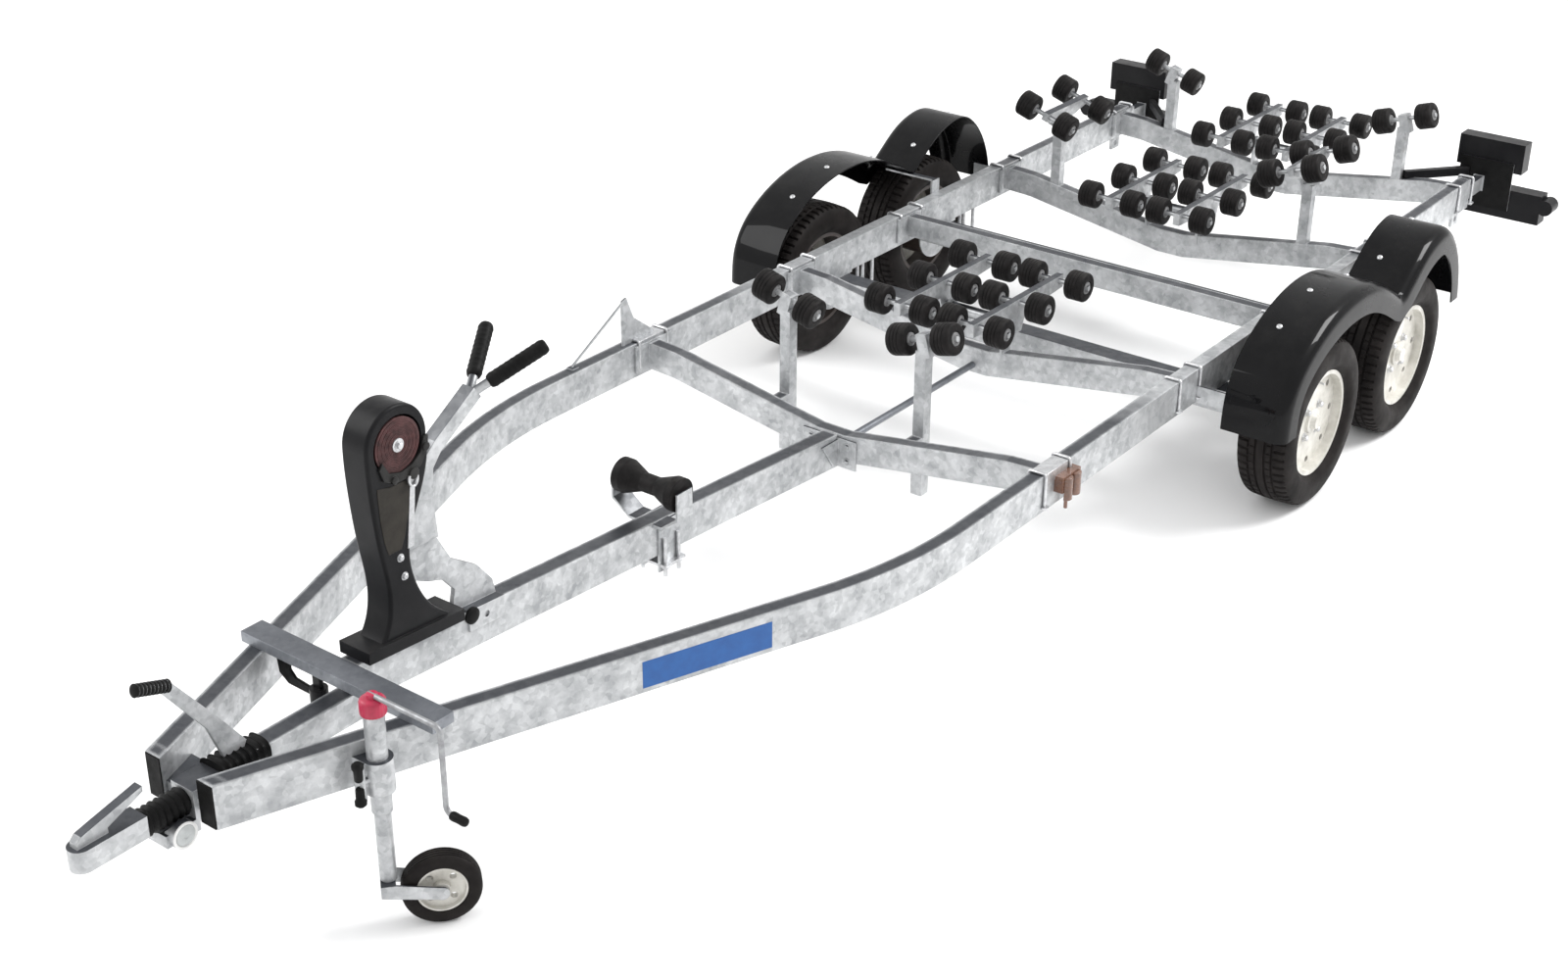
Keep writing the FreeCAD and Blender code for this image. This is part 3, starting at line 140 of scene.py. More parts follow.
def grid_surface(points: np.ndarray, around: bool, across: bool, caps: bool = False) -> Surface:
    """Turns a grid of points into quads: face (i, j) joins i, i+1 along and j, j+1 across.

    Args:
        points: array of rows by columns by 3.
        around: whether the last row joins the first.
        across: whether the last column joins the first.
        caps: whether the first and last rows are closed by a flat face.

    Returns:
        The surface, with quads and, where asked, two end faces.
    """
    rows, columns = points.shape[:2]
    i = np.arange(rows if around else rows - 1)[:, None]
    j = np.arange(columns if across else columns - 1)[None, :]
    next_i = (i + 1) % rows
    next_j = (j + 1) % columns
    corners = [i * columns + j, next_i * columns + j, next_i * columns + next_j, i * columns + next_j]
    faces = [np.stack(corners, axis=-1).reshape(-1, 4)]
    if caps:
        ring = np.arange(columns)
        faces += [ring[None, :], ((rows - 1) * columns + ring)[None, ::-1]]
    return Surface(points.reshape(-1, 3), faces)


def outward(surface: Surface) -> Surface:
    """Turns every face round if the skin's signed volume, the sum of a . (b x c) / 6, is negative.

    Args:
        surface: one or more closed skins that all turn the same way.

    Returns:
        The surface with its faces outward.
    """
    volume = 0.0
    for block in surface.faces:
        first = surface.points[block[:, 0]]
        for place in range(1, block.shape[1] - 1):
            second, third = surface.points[block[:, place]], surface.points[block[:, place + 1]]
            volume += float(np.einsum("ij,ij->", first, np.cross(second, third)))
    return surface if volume > 0 else surface.turned_over()


def circles(axes: np.ndarray, helper: np.ndarray, steps: int, turn: float = 0.0) -> np.ndarray:
    """Unit circles square to each axis: cos t * first + sin t * second, first along helper x axis.

    Args:
        axes: n by 3 unit directions.
        helper: a direction, or one per axis, that no axis lies along.
        steps: points round each circle.
        turn: angle of the first point in radians.

    Returns:
        n by steps by 3 array.
    """
    first = np.cross(helper, axes)
    first /= np.linalg.norm(first, axis=1, keepdims=True)
    second = np.cross(axes, first)
    angle = turn + FULL_TURN * np.arange(steps) / steps
    return first[:, None] * np.cos(angle)[None, :, None] + second[:, None] * np.sin(angle)[None, :, None]


def turned(profile: Profile, centres: Sequence, axes: Sequence, steps: int, turn: float = 0.0) -> Surface:
    """Carries a profile of (distance along the axis, radius) round each axis, as n equal copies.

    A point is centre + along * axis + radius * circle(t). Both ends of the profile are closed by a face, so a
    profile is solid from end to end unless it returns to its start.

    Args:
        profile: (along, radius) pairs in order.
        centres: one point, or one per copy.
        axes: one direction for all copies, or one per copy.
        steps: corners round the axis, 6 for a hexagon.
        turn: angle of the first corner in radians.

    Returns:
        One surface that holds all copies.
    """
    middle = np.asarray(centres, float).reshape(-1, 3)
    axis = np.broadcast_to(np.asarray(axes, float).reshape(-1, 3), middle.shape)
    axis = axis / np.linalg.norm(axis, axis=1, keepdims=True)
    ring = circles(axis, np.eye(3)[np.argmin(np.abs(axis), axis=1)], steps, turn)
    shape = np.asarray(profile, float)
    closed = bool(np.allclose(shape[0], shape[-1]))
    if closed:
        shape = shape[:-1]
    lengths, radii = shape[None, :, None, 0:1], shape[None, :, None, 1:2]
    points = middle[:, None, None] + lengths * axis[:, None, None] + radii * ring[:, None]
    return outward(Surface.joined(grid_surface(copy[::-1], closed, True, caps=not closed) for copy in points))


def tube(path: np.ndarray, radius: float, steps: int) -> Surface:
    """Carries a circle along a path: point + radius * circle(t), square to the path's tangent.

    Args:
        path: n by 3 points.
        radius: the tube's radius.
        steps: corners round the tube.

    Returns:
        A closed tube with flat ends.
    """
    tangent = np.gradient(path, axis=0)
    tangent /= np.linalg.norm(tangent, axis=1, keepdims=True)
    ring = circles(tangent, np.eye(3)[np.argmin(np.abs(tangent).max(axis=0))], steps)
    return outward(grid_surface((path[:, None] + radius * ring)[::-1], False, True, caps=True))


def extruded(outline: Profile, low: float, high: float, axis: int = 0) -> Surface:
    """Carries a flat outline straight along one axis, so each corner (a, b) stands at low and at high.

    Args:
        outline: corners in the two other axes, in x, y, z order.
        low: where the first end lies.
        high: where the second end lies.
        axis: 0, 1 or 2 for x, y or z.

    Returns:
        A closed prism.
    """
    corners = np.asarray(outline, float)
    points = np.zeros((2, len(corners), 3))
    points[:, :, [index for index in range(3) if index != axis]] = corners
    points[:, :, axis] = [[low], [high]]
    return outward(grid_surface(points, False, True, caps=True))


def box(low: Sequence[float], high: Sequence[float]) -> Surface:
    """Returns a closed block between two opposite corners."""
    x, y, z = zip(low, high)
    return extruded([(x[0], y[0]), (x[1], y[0]), (x[1], y[1]), (x[0], y[1])], *z, axis=2)


def bolts(centres: Sequence, axis: Sequence[float], radius: float) -> Surface:
    """Hexagon heads on round washers, standing on a face.

    Args:
        centres: one point of the face per bolt.
        axis: the face's outward direction.
        radius: the head's corner radius.

    Returns:
        All heads and washers.
    """
    head = [(0.0, radius), (radius * 0.75, radius), (radius * 0.9, radius * 0.84)]
    washer = [(-0.0006, radius * 1.45), (radius * 0.16, radius * 1.4)]
    return Surface.joined([turned(head, centres, axis, 6, 0.3), turned(washer, centres, axis, 18)])


def flipped(profile: Profile) -> list[Flat]:
    """Returns a profile mirrored end for end, to go on from its other side."""
    return [(-a, r) for a, r in reversed(profile)]


def grooves(places: Sequence[float], mouth: float, foot: float, outer: float, inner: float) -> list[Flat]:
    """Points of equal grooves across a profile.

    Args:
        places: middles of the grooves.
        mouth: half their width at the top, negative where the profile runs backward.
        foot: half their width at the bottom, with the same sign.
        outer: radius of their edges.
        inner: radius of their bottoms.

    Returns:
        Four points per groove.
    """
    shape = ((-mouth, outer), (-foot, inner), (foot, inner), (mouth, outer))
    return [(place + shift, radius) for place in places for shift, radius in shape]


def rounded_route(corners: Profile, bend: float, steps: int) -> np.ndarray:
    """Rounds the right angles of a flat route with quarter circles.

    A point is corner + bend * ((sin t - 1) * before + (1 - cos t) * after), for t up to a quarter turn.

    Args:
        corners: the route's ends and corners.
        bend: radius of the quarter circles.
        steps: points on each.

    Returns:
        n by 2 array.
    """
    points = np.asarray(corners, float)
    way = np.diff(points, axis=0)
    way /= np.linalg.norm(way, axis=1, keepdims=True)
    turn = np.linspace(0, QUARTER, steps)[None, :, None]
    before, after = way[:-1, None], way[1:, None]
    arcs = points[1:-1, None] + bend * ((np.sin(turn) - 1) * before + (1 - np.cos(turn)) * after)
    return np.concatenate([points[:1], arcs.reshape(-1, 2), points[-1:]])


def smoothed_path(points: Profile, count: int) -> np.ndarray:
    """Fits a smooth line through points (natural cubic spline over chord length) and samples it evenly.

    Args:
        points: the (a, b) pairs to pass through.
        count: samples wanted.

    Returns:
        count by 2 array.
    """
    knots = np.asarray(points, float)
    step = np.linalg.norm(np.diff(knots, axis=0), axis=1)
    place = np.concatenate(([0.0], np.cumsum(step)))
    size = len(knots)
    system = np.eye(size)
    right = np.zeros((size, 2))
    inner = np.arange(1, size - 1)
    system[inner, inner - 1] = step[:-1]
    system[inner, inner] = 2 * (step[:-1] + step[1:])
    system[inner, inner + 1] = step[1:]
    right[1:-1] = 6 * np.diff(np.diff(knots, axis=0) / step[:, None], axis=0)
    bend = np.linalg.solve(system, right)
    at = np.linspace(0, place[-1], count)
    k = np.clip(np.searchsorted(place, at, side="right") - 1, 0, size - 2)
    h = step[k][:, None]
    left = (place[k + 1] - at)[:, None]
    rest = (at - place[k])[:, None]
    curve = (bend[k] * left**3 + bend[k + 1] * rest**3) / (6 * h)
    return curve + (knots[k] / h - bend[k] * h / 6) * left + (knots[k + 1] / h - bend[k + 1] * h / 6) * rest


# Finishes


class Nodes:
    """A shader tree with short ways to add the nodes that finishes use."""

    def __init__(self, tree: bpy.types.NodeTree) -> None:
        """Keeps the tree.

        Args:
            tree: where the nodes go.
        """
        self.tree = tree

    def put(self, kind: str, feeds: dict, **settings: object) -> bpy.types.Node:
        """Adds a node and fills its sockets.

        Args:
            kind: the node's type, less the word that shader nodes start with.
            feeds: socket name or number to a value or to the socket that feeds it.
            settings: the node's own properties.

        Returns:
            The node.
        """
        node = self.tree.nodes.new("ShaderNode" + kind)
        for name, value in settings.items():
            setattr(node, name, value)
        for name, value in feeds.items():
            if isinstance(value, Socket):
                self.tree.links.new(value, node.inputs[name])
            else:
                node.inputs[name].default_value = value
        return node

    def group(self, group: bpy.types.NodeTree, **feeds: object) -> bpy.types.bpy_prop_collection:
        """Places a shared group and returns its outputs."""
        return self.put("Group", feeds, node_tree=group).outputs

    def maths(self, operation: str, *values: object, clamp: bool = False) -> Socket:
        """Returns the result of one operation on values or sockets."""
        return self.put("Math", dict(enumerate(values)), operation=operation, use_clamp=clamp).outputs[0]

    def ramp(self, value: Socket, low: float, high: float, start: float = 0.0, end: float = 1.0) -> Socket:
        """Returns start below low, end above high and a straight run between them."""
        feeds = {"Value": value, "From Min": low, "From Max": high, "To Min": start, "To Max": end}
        return self.put("MapRange", feeds, clamp=True).outputs[0]

    def blend(self, share: object, under: object, over: Colour) -> Socket:
        """Returns a colour, or a socket with one, covered by a share of another colour."""
        under = under if isinstance(under, Socket) else (*under, 1.0)
        return self.put("Mix", {"Factor": share, 6: under, 7: (*over, 1.0)}, data_type="RGBA").outputs[2]

    def noise(self, vector: Socket, scale: object, detail: float, roughness: float) -> bpy.types.Node:
        """Returns a noise texture."""
        feeds = {"Vector": vector, "Scale": scale, "Detail": detail, "Roughness": roughness}
        return self.put("TexNoise", feeds)

    def mix(self, share: float, under: Socket, over: Socket) -> Socket:
        """Returns a number that lies between two others."""
        return self.put("Mix", {"Factor": share, 2: under, 3: over}, data_type="FLOAT").outputs[0]

    def axis(self, vector: Socket, letter: str) -> Socket:
        """Returns one coordinate of a vector."""
        return self.put("SeparateXYZ", {"Vector": vector}).outputs[letter]


class Effects:
    """Patterns that several finishes share, each a node group that is built once."""

    def __init__(self) -> None:
        """Builds the groups."""
        self.spangle = self._group("zinc_spangle", ("Shade", "Relief"), self._spangle)
        self.mottle = self._group("slow_mottle", ("Mask",), self._mottle, "Contrast")
        self.grain = self._group("fine_grain", ("Height",), self._grain)
        self.upward_and_dust = self._group("upward_faces_and_dust", ("Up", "Dust"), self._upward_and_dust)

    @staticmethod
    def _group(name: str, gives: Sequence[str], pattern: object, *more: str) -> bpy.types.NodeTree:
        """Makes a shader node group.

        Args:
            name: the group's name.
            gives: names of its outputs, all numbers.
            pattern: takes the nodes and the group's inputs and returns the sockets of the outputs.
            more: number inputs beyond the vector and the scale.

        Returns:
            The group.
        """
        tree = bpy.data.node_groups.new(name, "ShaderNodeTree")
        tree.interface.new_socket(name="Vector", in_out="INPUT", socket_type="NodeSocketVector")
        for label in ("Scale", *more):
            tree.interface.new_socket(name=label, in_out="INPUT", socket_type="NodeSocketFloat")
        for label in gives:
            tree.interface.new_socket(name=label, in_out="OUTPUT", socket_type="NodeSocketFloat")
        takes, ends = tree.nodes.new("NodeGroupInput"), tree.nodes.new("NodeGroupOutput")
        for label, socket in zip(gives, pattern(Nodes(tree), takes.outputs)):
            tree.links.new(socket, ends.inputs[label])
        return tree

    @staticmethod
    def _spangle(nodes: Nodes, takes: dict[str, Socket]) -> tuple[Socket, ...]:
        """Zinc crystals: random cell shades with soft borders, and the cells' small relief.

        Args:
            nodes: the group's nodes.
            takes: the group's inputs.

        Returns:
            The shade and the relief.
        """
        warp = nodes.noise(takes["Vector"], 60.0, 1.0, 0.5)
        shift = nodes.put("VectorMath", {0: warp.outputs["Color"], "Scale": 0.012}, operation="SCALE")
        moved = nodes.put("VectorMath", {0: takes["Vector"], 1: shift.outputs[0]}, operation="ADD").outputs[0]
        cells = nodes.put("TexVoronoi", {"Vector": moved, "Scale": takes["Scale"], "Randomness": 1.0})
        shade = nodes.put("SeparateColor", {"Color": cells.outputs["Color"]})
        fine = nodes.noise(moved, 420.0, 2.0, 0.5)
        return nodes.mix(0.35, shade.outputs[0], fine.outputs["Fac"]), cells.outputs["Distance"]

    @staticmethod
    def _mottle(nodes: Nodes, takes: dict[str, Socket]) -> tuple[Socket, ...]:
        """Slow, uneven clouding from octaves of noise, pushed to a chosen contrast.

        Args:
            nodes: the group's nodes.
            takes: the group's inputs.

        Returns:
            The mask.
        """
        noise = nodes.noise(takes["Vector"], takes["Scale"], 5.0, 0.62)
        centred = nodes.maths("SUBTRACT", noise.outputs["Fac"], 0.5)
        return (nodes.maths("MULTIPLY_ADD", centred, takes["Contrast"], 0.5, clamp=True),)

    @staticmethod
    def _grain(nodes: Nodes, takes: dict[str, Socket]) -> tuple[Socket, ...]:
        """Fine moulded grain: high noise with small pits."""
        return (nodes.noise(takes["Vector"], takes["Scale"], 3.0, 0.7).outputs["Fac"],)

    @staticmethod
    def _upward_and_dust(nodes: Nodes, takes: dict[str, Socket]) -> tuple[Socket, ...]:
        """Faces that look up, which take the dust and the painted top shade, and the dust on them, broken by
        noise.

        Args:
            nodes: the group's nodes.
            takes: the group's inputs.

        Returns:
            How far a face looks up, and the dust on it.
        """
        upward = nodes.ramp(nodes.axis(nodes.put("NewGeometry", {}).outputs["True Normal"], "Z"), 0.55, 0.9)
        noise = nodes.noise(takes["Vector"], takes["Scale"], 6.0, 0.7)
        return upward, nodes.maths("MULTIPLY", upward, nodes.ramp(noise.outputs["Fac"], 0.42, 0.72))


@dataclass(frozen=True)
class Finish:
    """A surface finish: two shades clouded together, painted shade on upward and inboard faces, dust on top,
    small relief and a gloss range.
    """

    name: str
    light: Colour
    dark: Colour
    rough: Flat
    metallic: float = 0.0
    mottle_scale: float = 9.0
    mottle_contrast: float = 2.2
    spangle_scale: float = 0.0
    spangle_share: float = 0.0
    # painted shade: upward faces are darkened towards painted_top_shade by painted_top_share; strip_radius
    # keeps it off round edges and bright_run lifts it along a run in Y
    painted_top_shade: Colour | None = None
    painted_top_share: float = 0.0
    strip_radius: float = 0.0
    bright_run: Flat | None = None
    # painted shade: faces nearer the middle than inner_limit in x are darkened towards painted_inner_shade
    painted_inner_shade: Colour | None = None
    inner_limit: float = 0.0
    dust: Colour = (0.45, 0.43, 0.4)
    dust_share: float = 0.0
    dust_scale: float = 14.0
    grain_scale: float = 900.0
    grain_depth: float = 0.0002
    grain_strength: float = 0.25
    edge_radius: float = 0.0
    coat: float = 0.0
    specular: float = 0.5

    def _painted_top_share(self, nodes: Nodes, vector: Socket, upward: Socket) -> Socket:
        """Finds how much of the painted top shade a place takes.

        Args:
            nodes: the material's nodes.
            vector: the pattern's coordinates.
            upward: how far a face looks up.

        Returns:
            The share of painted shade: upward faces, less their round edges and less the bright run along Y.
        """
        if self.strip_radius:
            rounded = nodes.put("Bevel", {"Radius": self.strip_radius}, samples=6).outputs["Normal"]
            upward = nodes.ramp(nodes.axis(rounded, "Z"), 0.93, 0.995)
        share = nodes.maths("MULTIPLY", upward, self.painted_top_share)
        if self.bright_run is not None:
            (start, end), place, kept = self.bright_run, nodes.axis(vector, "Y"), 0.2
            ahead = nodes.ramp(place, start, start + 0.3, 1.0, kept)
            behind = nodes.ramp(place, end - 0.2, end, kept, 1.0)
            share = nodes.maths("MULTIPLY", share, nodes.maths("MAXIMUM", ahead, behind))
        return share

    def _colour(self, nodes: Nodes, vector: Socket, effects: Effects) -> tuple[Socket, Socket]:
        """Mixes the shades and lays the painted shade and the dust over them.

        Args:
            nodes: the material's nodes.
            vector: the pattern's coordinates.
            effects: the shared groups.

        Returns:
            The colour and the clouding mask.
        """
        clouds = {"Vector": vector, "Scale": self.mottle_scale, "Contrast": self.mottle_contrast}
        mask = nodes.group(effects.mottle, **clouds)["Mask"]
        if self.spangle_share:
            zinc = nodes.group(effects.spangle, Vector=vector, Scale=self.spangle_scale)["Shade"]
            mask = nodes.mix(self.spangle_share, mask, zinc)
        colour = nodes.blend(mask, self.dark, self.light)
        upward_and_dust_outputs = nodes.group(effects.upward_and_dust, Vector=vector, Scale=self.dust_scale)
        # painted shade: upward faces darkened towards painted_top_shade
        if self.painted_top_shade is not None:
            colour = nodes.blend(self._painted_top_share(nodes, vector, upward_and_dust_outputs["Up"]), colour, self.painted_top_shade)
        # painted shade: darkens the faces within inner_limit of the middle in x
        if self.painted_inner_shade is not None:
            out = nodes.maths("ABSOLUTE", nodes.axis(vector, "X"))
            inner = nodes.ramp(out, self.inner_limit - 0.004, self.inner_limit, 1.0, 0.0)
            colour = nodes.blend(inner, colour, self.painted_inner_shade)
        if self.dust_share:
            colour = nodes.blend(nodes.maths("MULTIPLY", upward_and_dust_outputs["Dust"], self.dust_share), colour, self.dust)
        return colour, mask

    def material(self, effects: Effects) -> bpy.types.Material:
        """Builds the material.

        Args:
            effects: the shared groups.

        Returns:
            The new material.
        """
        made = bpy.data.materials.new(self.name)
        made.use_nodes = True
        made.node_tree.nodes.clear()
        nodes = Nodes(made.node_tree)
        vector = nodes.put("TexCoord", {}).outputs["Object"]
        colour, mask = self._colour(nodes, vector, effects)
        height = nodes.group(effects.grain, Vector=vector, Scale=self.grain_scale)["Height"]
        relief = {"Height": height, "Strength": self.grain_strength, "Distance": self.grain_depth}
        if self.edge_radius:
            relief["Normal"] = nodes.put("Bevel", {"Radius": self.edge_radius}, samples=4).outputs["Normal"]
        look = {
            "Base Color": colour,
            "Roughness": nodes.ramp(mask, 0.0, 1.0, self.rough[1], self.rough[0]),
            "Metallic": self.metallic,
            "Coat Weight": self.coat,
            "Specular IOR Level": self.specular,
            "Normal": nodes.put("Bump", relief).outputs["Normal"],
        }
        nodes.put("OutputMaterial", {"Surface": nodes.put("BsdfPrincipled", look).outputs["BSDF"]})
        return made


FINISHES = {
    "galvanised": Finish(
        "galvanised_steel", (0.65, 0.66, 0.67), (0.27, 0.28, 0.29), (0.28, 0.52), metallic=0.55,
        mottle_scale=13.0, mottle_contrast=3.4, spangle_scale=60.0, spangle_share=0.5,
        # painted shade: darker upward faces
        painted_top_shade=(0.020, 0.023, 0.031), painted_top_share=0.92, grain_scale=260.0, grain_depth=0.0004,
        grain_strength=0.35, edge_radius=0.003,
    ),
    "bolts": Finish(
        "bright_zinc_bolts", (0.7, 0.71, 0.72), (0.42, 0.42, 0.43), (0.25, 0.4), metallic=0.85,
        mottle_scale=60.0, grain_scale=600.0,
    ),
    "black_plastic": Finish(
        "moulded_black_plastic", (0.013, 0.013, 0.014), (0.004, 0.004, 0.005), (0.26, 0.42),
        mottle_scale=6.0, dust_share=0.03, grain_scale=700.0, grain_depth=0.0003, grain_strength=0.2,
        edge_radius=0.003, specular=0.14,
    ),
    "black_rubber": Finish(
        "roller_rubber", (0.017, 0.015, 0.015), (0.005, 0.005, 0.005), (0.42, 0.62), mottle_scale=30.0,
        dust_share=0.04, grain_scale=500.0, grain_depth=0.0004, grain_strength=0.3, edge_radius=0.004,
        specular=0.10,
    ),
    "tyre": Finish(
        "tyre_rubber", (0.021, 0.018, 0.017), (0.008, 0.007, 0.007), (0.5, 0.72), mottle_scale=12.0,
        dust_share=0.04, grain_scale=800.0, grain_depth=0.0003, grain_strength=0.25, specular=0.10,
    ),
    "rim_paint": Finish(
        "cream_rim_enamel", (0.74, 0.725, 0.68), (0.46, 0.445, 0.40), (0.28, 0.45), metallic=0.15,
        mottle_scale=14.0, mottle_contrast=2.6, grain_scale=300.0, edge_radius=0.002,
        # painted shade on the rims' inboard side
        painted_inner_shade=(0.045, 0.034, 0.030), inner_limit=1.070,
    ),
    "cast_black": Finish(
        "black_cast_metal", (0.024, 0.023, 0.022), (0.008, 0.008, 0.008), (0.35, 0.55), metallic=0.2,
        mottle_scale=25.0, grain_scale=350.0, grain_depth=0.0006, grain_strength=0.4, edge_radius=0.003,
        specular=0.30,
    ),
    "strap_red": Finish(
        "strap_webbing", (0.085, 0.028, 0.028), (0.035, 0.014, 0.014), (0.6, 0.8), mottle_scale=40.0,
        mottle_contrast=3.0, grain_scale=900.0, grain_depth=0.0008, grain_strength=0.6,
    ),
    "cap_red": Finish(
        "red_cap_plastic", (0.5, 0.02, 0.07), (0.3, 0.012, 0.04), (0.3, 0.45), mottle_scale=20.0,
        grain_scale=600.0, edge_radius=0.003,
    ),
    "lens_red": Finish(
        "dark_lamp_lens", (0.20, 0.008, 0.008), (0.08, 0.004, 0.004), (0.1, 0.2), mottle_scale=18.0,
        coat=0.2, grain_scale=160.0, grain_depth=0.0008, grain_strength=0.5, edge_radius=0.002,
    ),
    "amber": Finish(
        "amber_lens", (0.20, 0.095, 0.060), (0.09, 0.045, 0.03), (0.2, 0.35), mottle_scale=40.0, coat=0.5,
        grain_scale=200.0, grain_depth=0.0006, edge_radius=0.002,
    ),
    "gloss_black": Finish(
        "gloss_moulded_black", (0.004, 0.004, 0.0045), (0.0015, 0.0015, 0.002), (0.22, 0.36),
        mottle_scale=5.0, dust_share=0.01, grain_scale=120.0, grain_depth=0.0004, grain_strength=0.12,
        coat=0.28, specular=0.04,
    ),
    "dull_black": Finish(
        "dull_black_rubber", (0.010, 0.010, 0.010), (0.004, 0.004, 0.004), (0.38, 0.6), mottle_scale=30.0,
        grain_scale=500.0, grain_depth=0.0004, grain_strength=0.3, specular=0.10,
    ),
    "panel_grey": Finish(
        "dark_set_in_panel", (0.036, 0.032, 0.026), (0.014, 0.012, 0.010), (0.3, 0.5), mottle_scale=14.0,
        grain_scale=500.0, grain_strength=0.2, specular=0.16,
    ),
    "pale_ring": Finish(
        "white_ring", (0.86, 0.86, 0.85), (0.7, 0.7, 0.69), (0.3, 0.45), mottle_scale=30.0,
        grain_scale=600.0,
    ),
    "cap_grey": Finish(
        "pale_grey_cap", (0.55, 0.57, 0.57), (0.38, 0.4, 0.4), (0.3, 0.5), mottle_scale=30.0,
        grain_scale=500.0,
    ),
    "crank_steel": Finish(
        "crank_steel", (0.42, 0.43, 0.44), (0.24, 0.24, 0.25), (0.3, 0.5), metallic=0.6, mottle_scale=40.0,
        grain_scale=400.0,
    ),
    "dark_zinc": Finish(
        "weathered_zinc_with_painted_top_shade", (0.3, 0.315, 0.34), (0.16, 0.17, 0.19), (0.3, 0.5), metallic=0.5,
        mottle_scale=16.0, mottle_contrast=3.0, spangle_scale=70.0, spangle_share=0.5,
        # painted shade: darker upward faces
        painted_top_shade=(0.06, 0.066, 0.078), painted_top_share=0.6, grain_scale=260.0, grain_depth=0.0004,
        grain_strength=0.35, edge_radius=0.003,
    ),
    "label_blue": Finish(
        "blue_label", (0.006, 0.095, 0.33), (0.005, 0.07, 0.26), (0.3, 0.4), mottle_scale=30.0,
        grain_scale=800.0,
    ),
    "hub_grey": Finish(
        "grey_roller_hub", (0.2, 0.2, 0.2), (0.08, 0.08, 0.085), (0.4, 0.55), mottle_scale=50.0,
        grain_scale=500.0,
    ),
}

for variant, base, changes in (
    # painted shade: box sections get a narrower painted top strip, and on the rails it falls to a fifth between
    # y 0.05 and 1.95
    ("box_section", "galvanised", {"name": "galvanised_box_section", "strip_radius": 0.016}),
    ("rail_section", "box_section", {"name": "galvanised_rail_section", "bright_run": (0.05, 1.95)}),
    ("jockey_rim_paint", "rim_paint", {"name": "cream_jockey_rim_enamel", "painted_inner_shade": None}),
):
    FINISHES[variant] = replace(FINISHES[base], **changes)

OWN_FINISH = {
    "front_crossbar": "dark_zinc",
    "brake_rod_front": "dark_zinc",
    "overrun_bellows": "dull_black",
    "rail_left": "rail_section",
    "rail_right": "rail_section",
    "centre_beam": "box_section",
    **{f"crossmember_{place}": "box_section" for place in ("front", "middle", "axle", "aft", "rear")},
    "jockey_rim": "jockey_rim_paint",
}


@dataclass(frozen=True)
class Piece:
    """One new object: its skin, slot and own finish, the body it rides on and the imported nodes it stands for.

    Faces that meet at less than smooth_deg are shaded smooth, and bevel is the width of a rounded edge.
    """

    name: str
    surface: Surface
    slot: str = "galvanised"
    finish: str | None = None
    body: str = "chassis"
    replaces: tuple[str, ...] = ()
    smooth_deg: float = 35.0
    bevel: float = 0.0


def add_object(name: str, data: bpy.types.ID) -> bpy.types.Object:
    """Puts a mesh, light or camera into the scene.

    Args:
        name: the object's name.
        data: what it shows.

    Returns:
        The object.
    """
    made = bpy.data.objects.new(name, data)
    bpy.context.scene.collection.objects.link(made)
    return made


def mesh_of(name: str, surface: Surface) -> bpy.types.Mesh:
    """Makes a mesh with smooth shading.

    Args:
        name: the mesh's name.
        surface: its corners and faces.

    Returns:
        The mesh.
    """
    mesh = bpy.data.meshes.new(name)
    mesh.from_pydata(surface.points.tolist(), [], [row for block in surface.faces for row in block.tolist()])
    mesh.validate()
    mesh.shade_smooth()
    return mesh


class Dresser:
    """Makes objects from surfaces, gives them their finish and says what they ride on."""

    BEVEL_STEPS = 3
    BEVEL_FROM_DEG = 40.0

    def __init__(self) -> None:
        """Builds every finish once."""
        effects = Effects()
        self.materials = {slot: finish.material(effects) for slot, finish in FINISHES.items()}

    def dress_nodes(self) -> None:
        """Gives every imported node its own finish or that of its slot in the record."""
        slots = {part["node"]: part["material_slot"] for part in frame["record"]["subparts"]}
        for name, node in frame["nodes"].items():
            slot = OWN_FINISH.get(name) or slots[name]
            node.data.materials.clear()
            node.data.materials.append(self.materials[slot])
            log.info("node %s wears %s", name, slot)

    def make(self, piece: Piece) -> None:
        """Makes one finished object.

        Args:
            piece: what to make.
        """
        mesh = mesh_of(piece.name, piece.surface)
        mesh.set_sharp_from_angle(angle=math.radians(piece.smooth_deg))
        mesh.materials.append(self.materials[piece.finish or piece.slot])
        made = add_object(piece.name, mesh)
        if piece.bevel:
            rounding = made.modifiers.new("rounded_edges", "BEVEL")
            rounding.width = piece.bevel
            rounding.segments = self.BEVEL_STEPS
            rounding.limit_method = "ANGLE"
            rounding.angle_limit = math.radians(self.BEVEL_FROM_DEG)
        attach(made, piece.body)
        if piece.replaces:
            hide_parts(*piece.replaces)
        log.info("piece %s: %d faces on %s", piece.name, len(mesh.polygons), piece.body)


class Fitting(ABC):
    """A group of pieces that share their sizes."""

    @abstractmethod
    def pieces(self) -> Iterator[Piece]:
        """Returns the pieces, one after another."""


# Hull rollers


@dataclass(frozen=True)
class RollerSet:
    """Equal rollers on parallel pins: the node they stand for, its body, their middles and the pins' lean."""

    node: str
    body: str
    places: tuple[Point, ...]
    lean_deg: float = 0.0
    lean_x: float = 0.0
    lean_z: float = 0.0

    def centres(self) -> np.ndarray:
        """Turns the middles by the lean about a line along y.

        Returns:
            n by 3 array.
        """
        points = np.array(self.places, float)
        across, _, up = self.axis()
        x = points[:, 0] - self.lean_x
        z = points[:, 2] - self.lean_z
        return spots(self.lean_x + x * across - z * up, points[:, 1], self.lean_z + x * up + z * across)

    def axis(self) -> Point:
        """Returns the direction of the leaned pins."""
        angle = math.radians(self.lean_deg)
        return (math.cos(angle), 0.0, math.sin(angle))


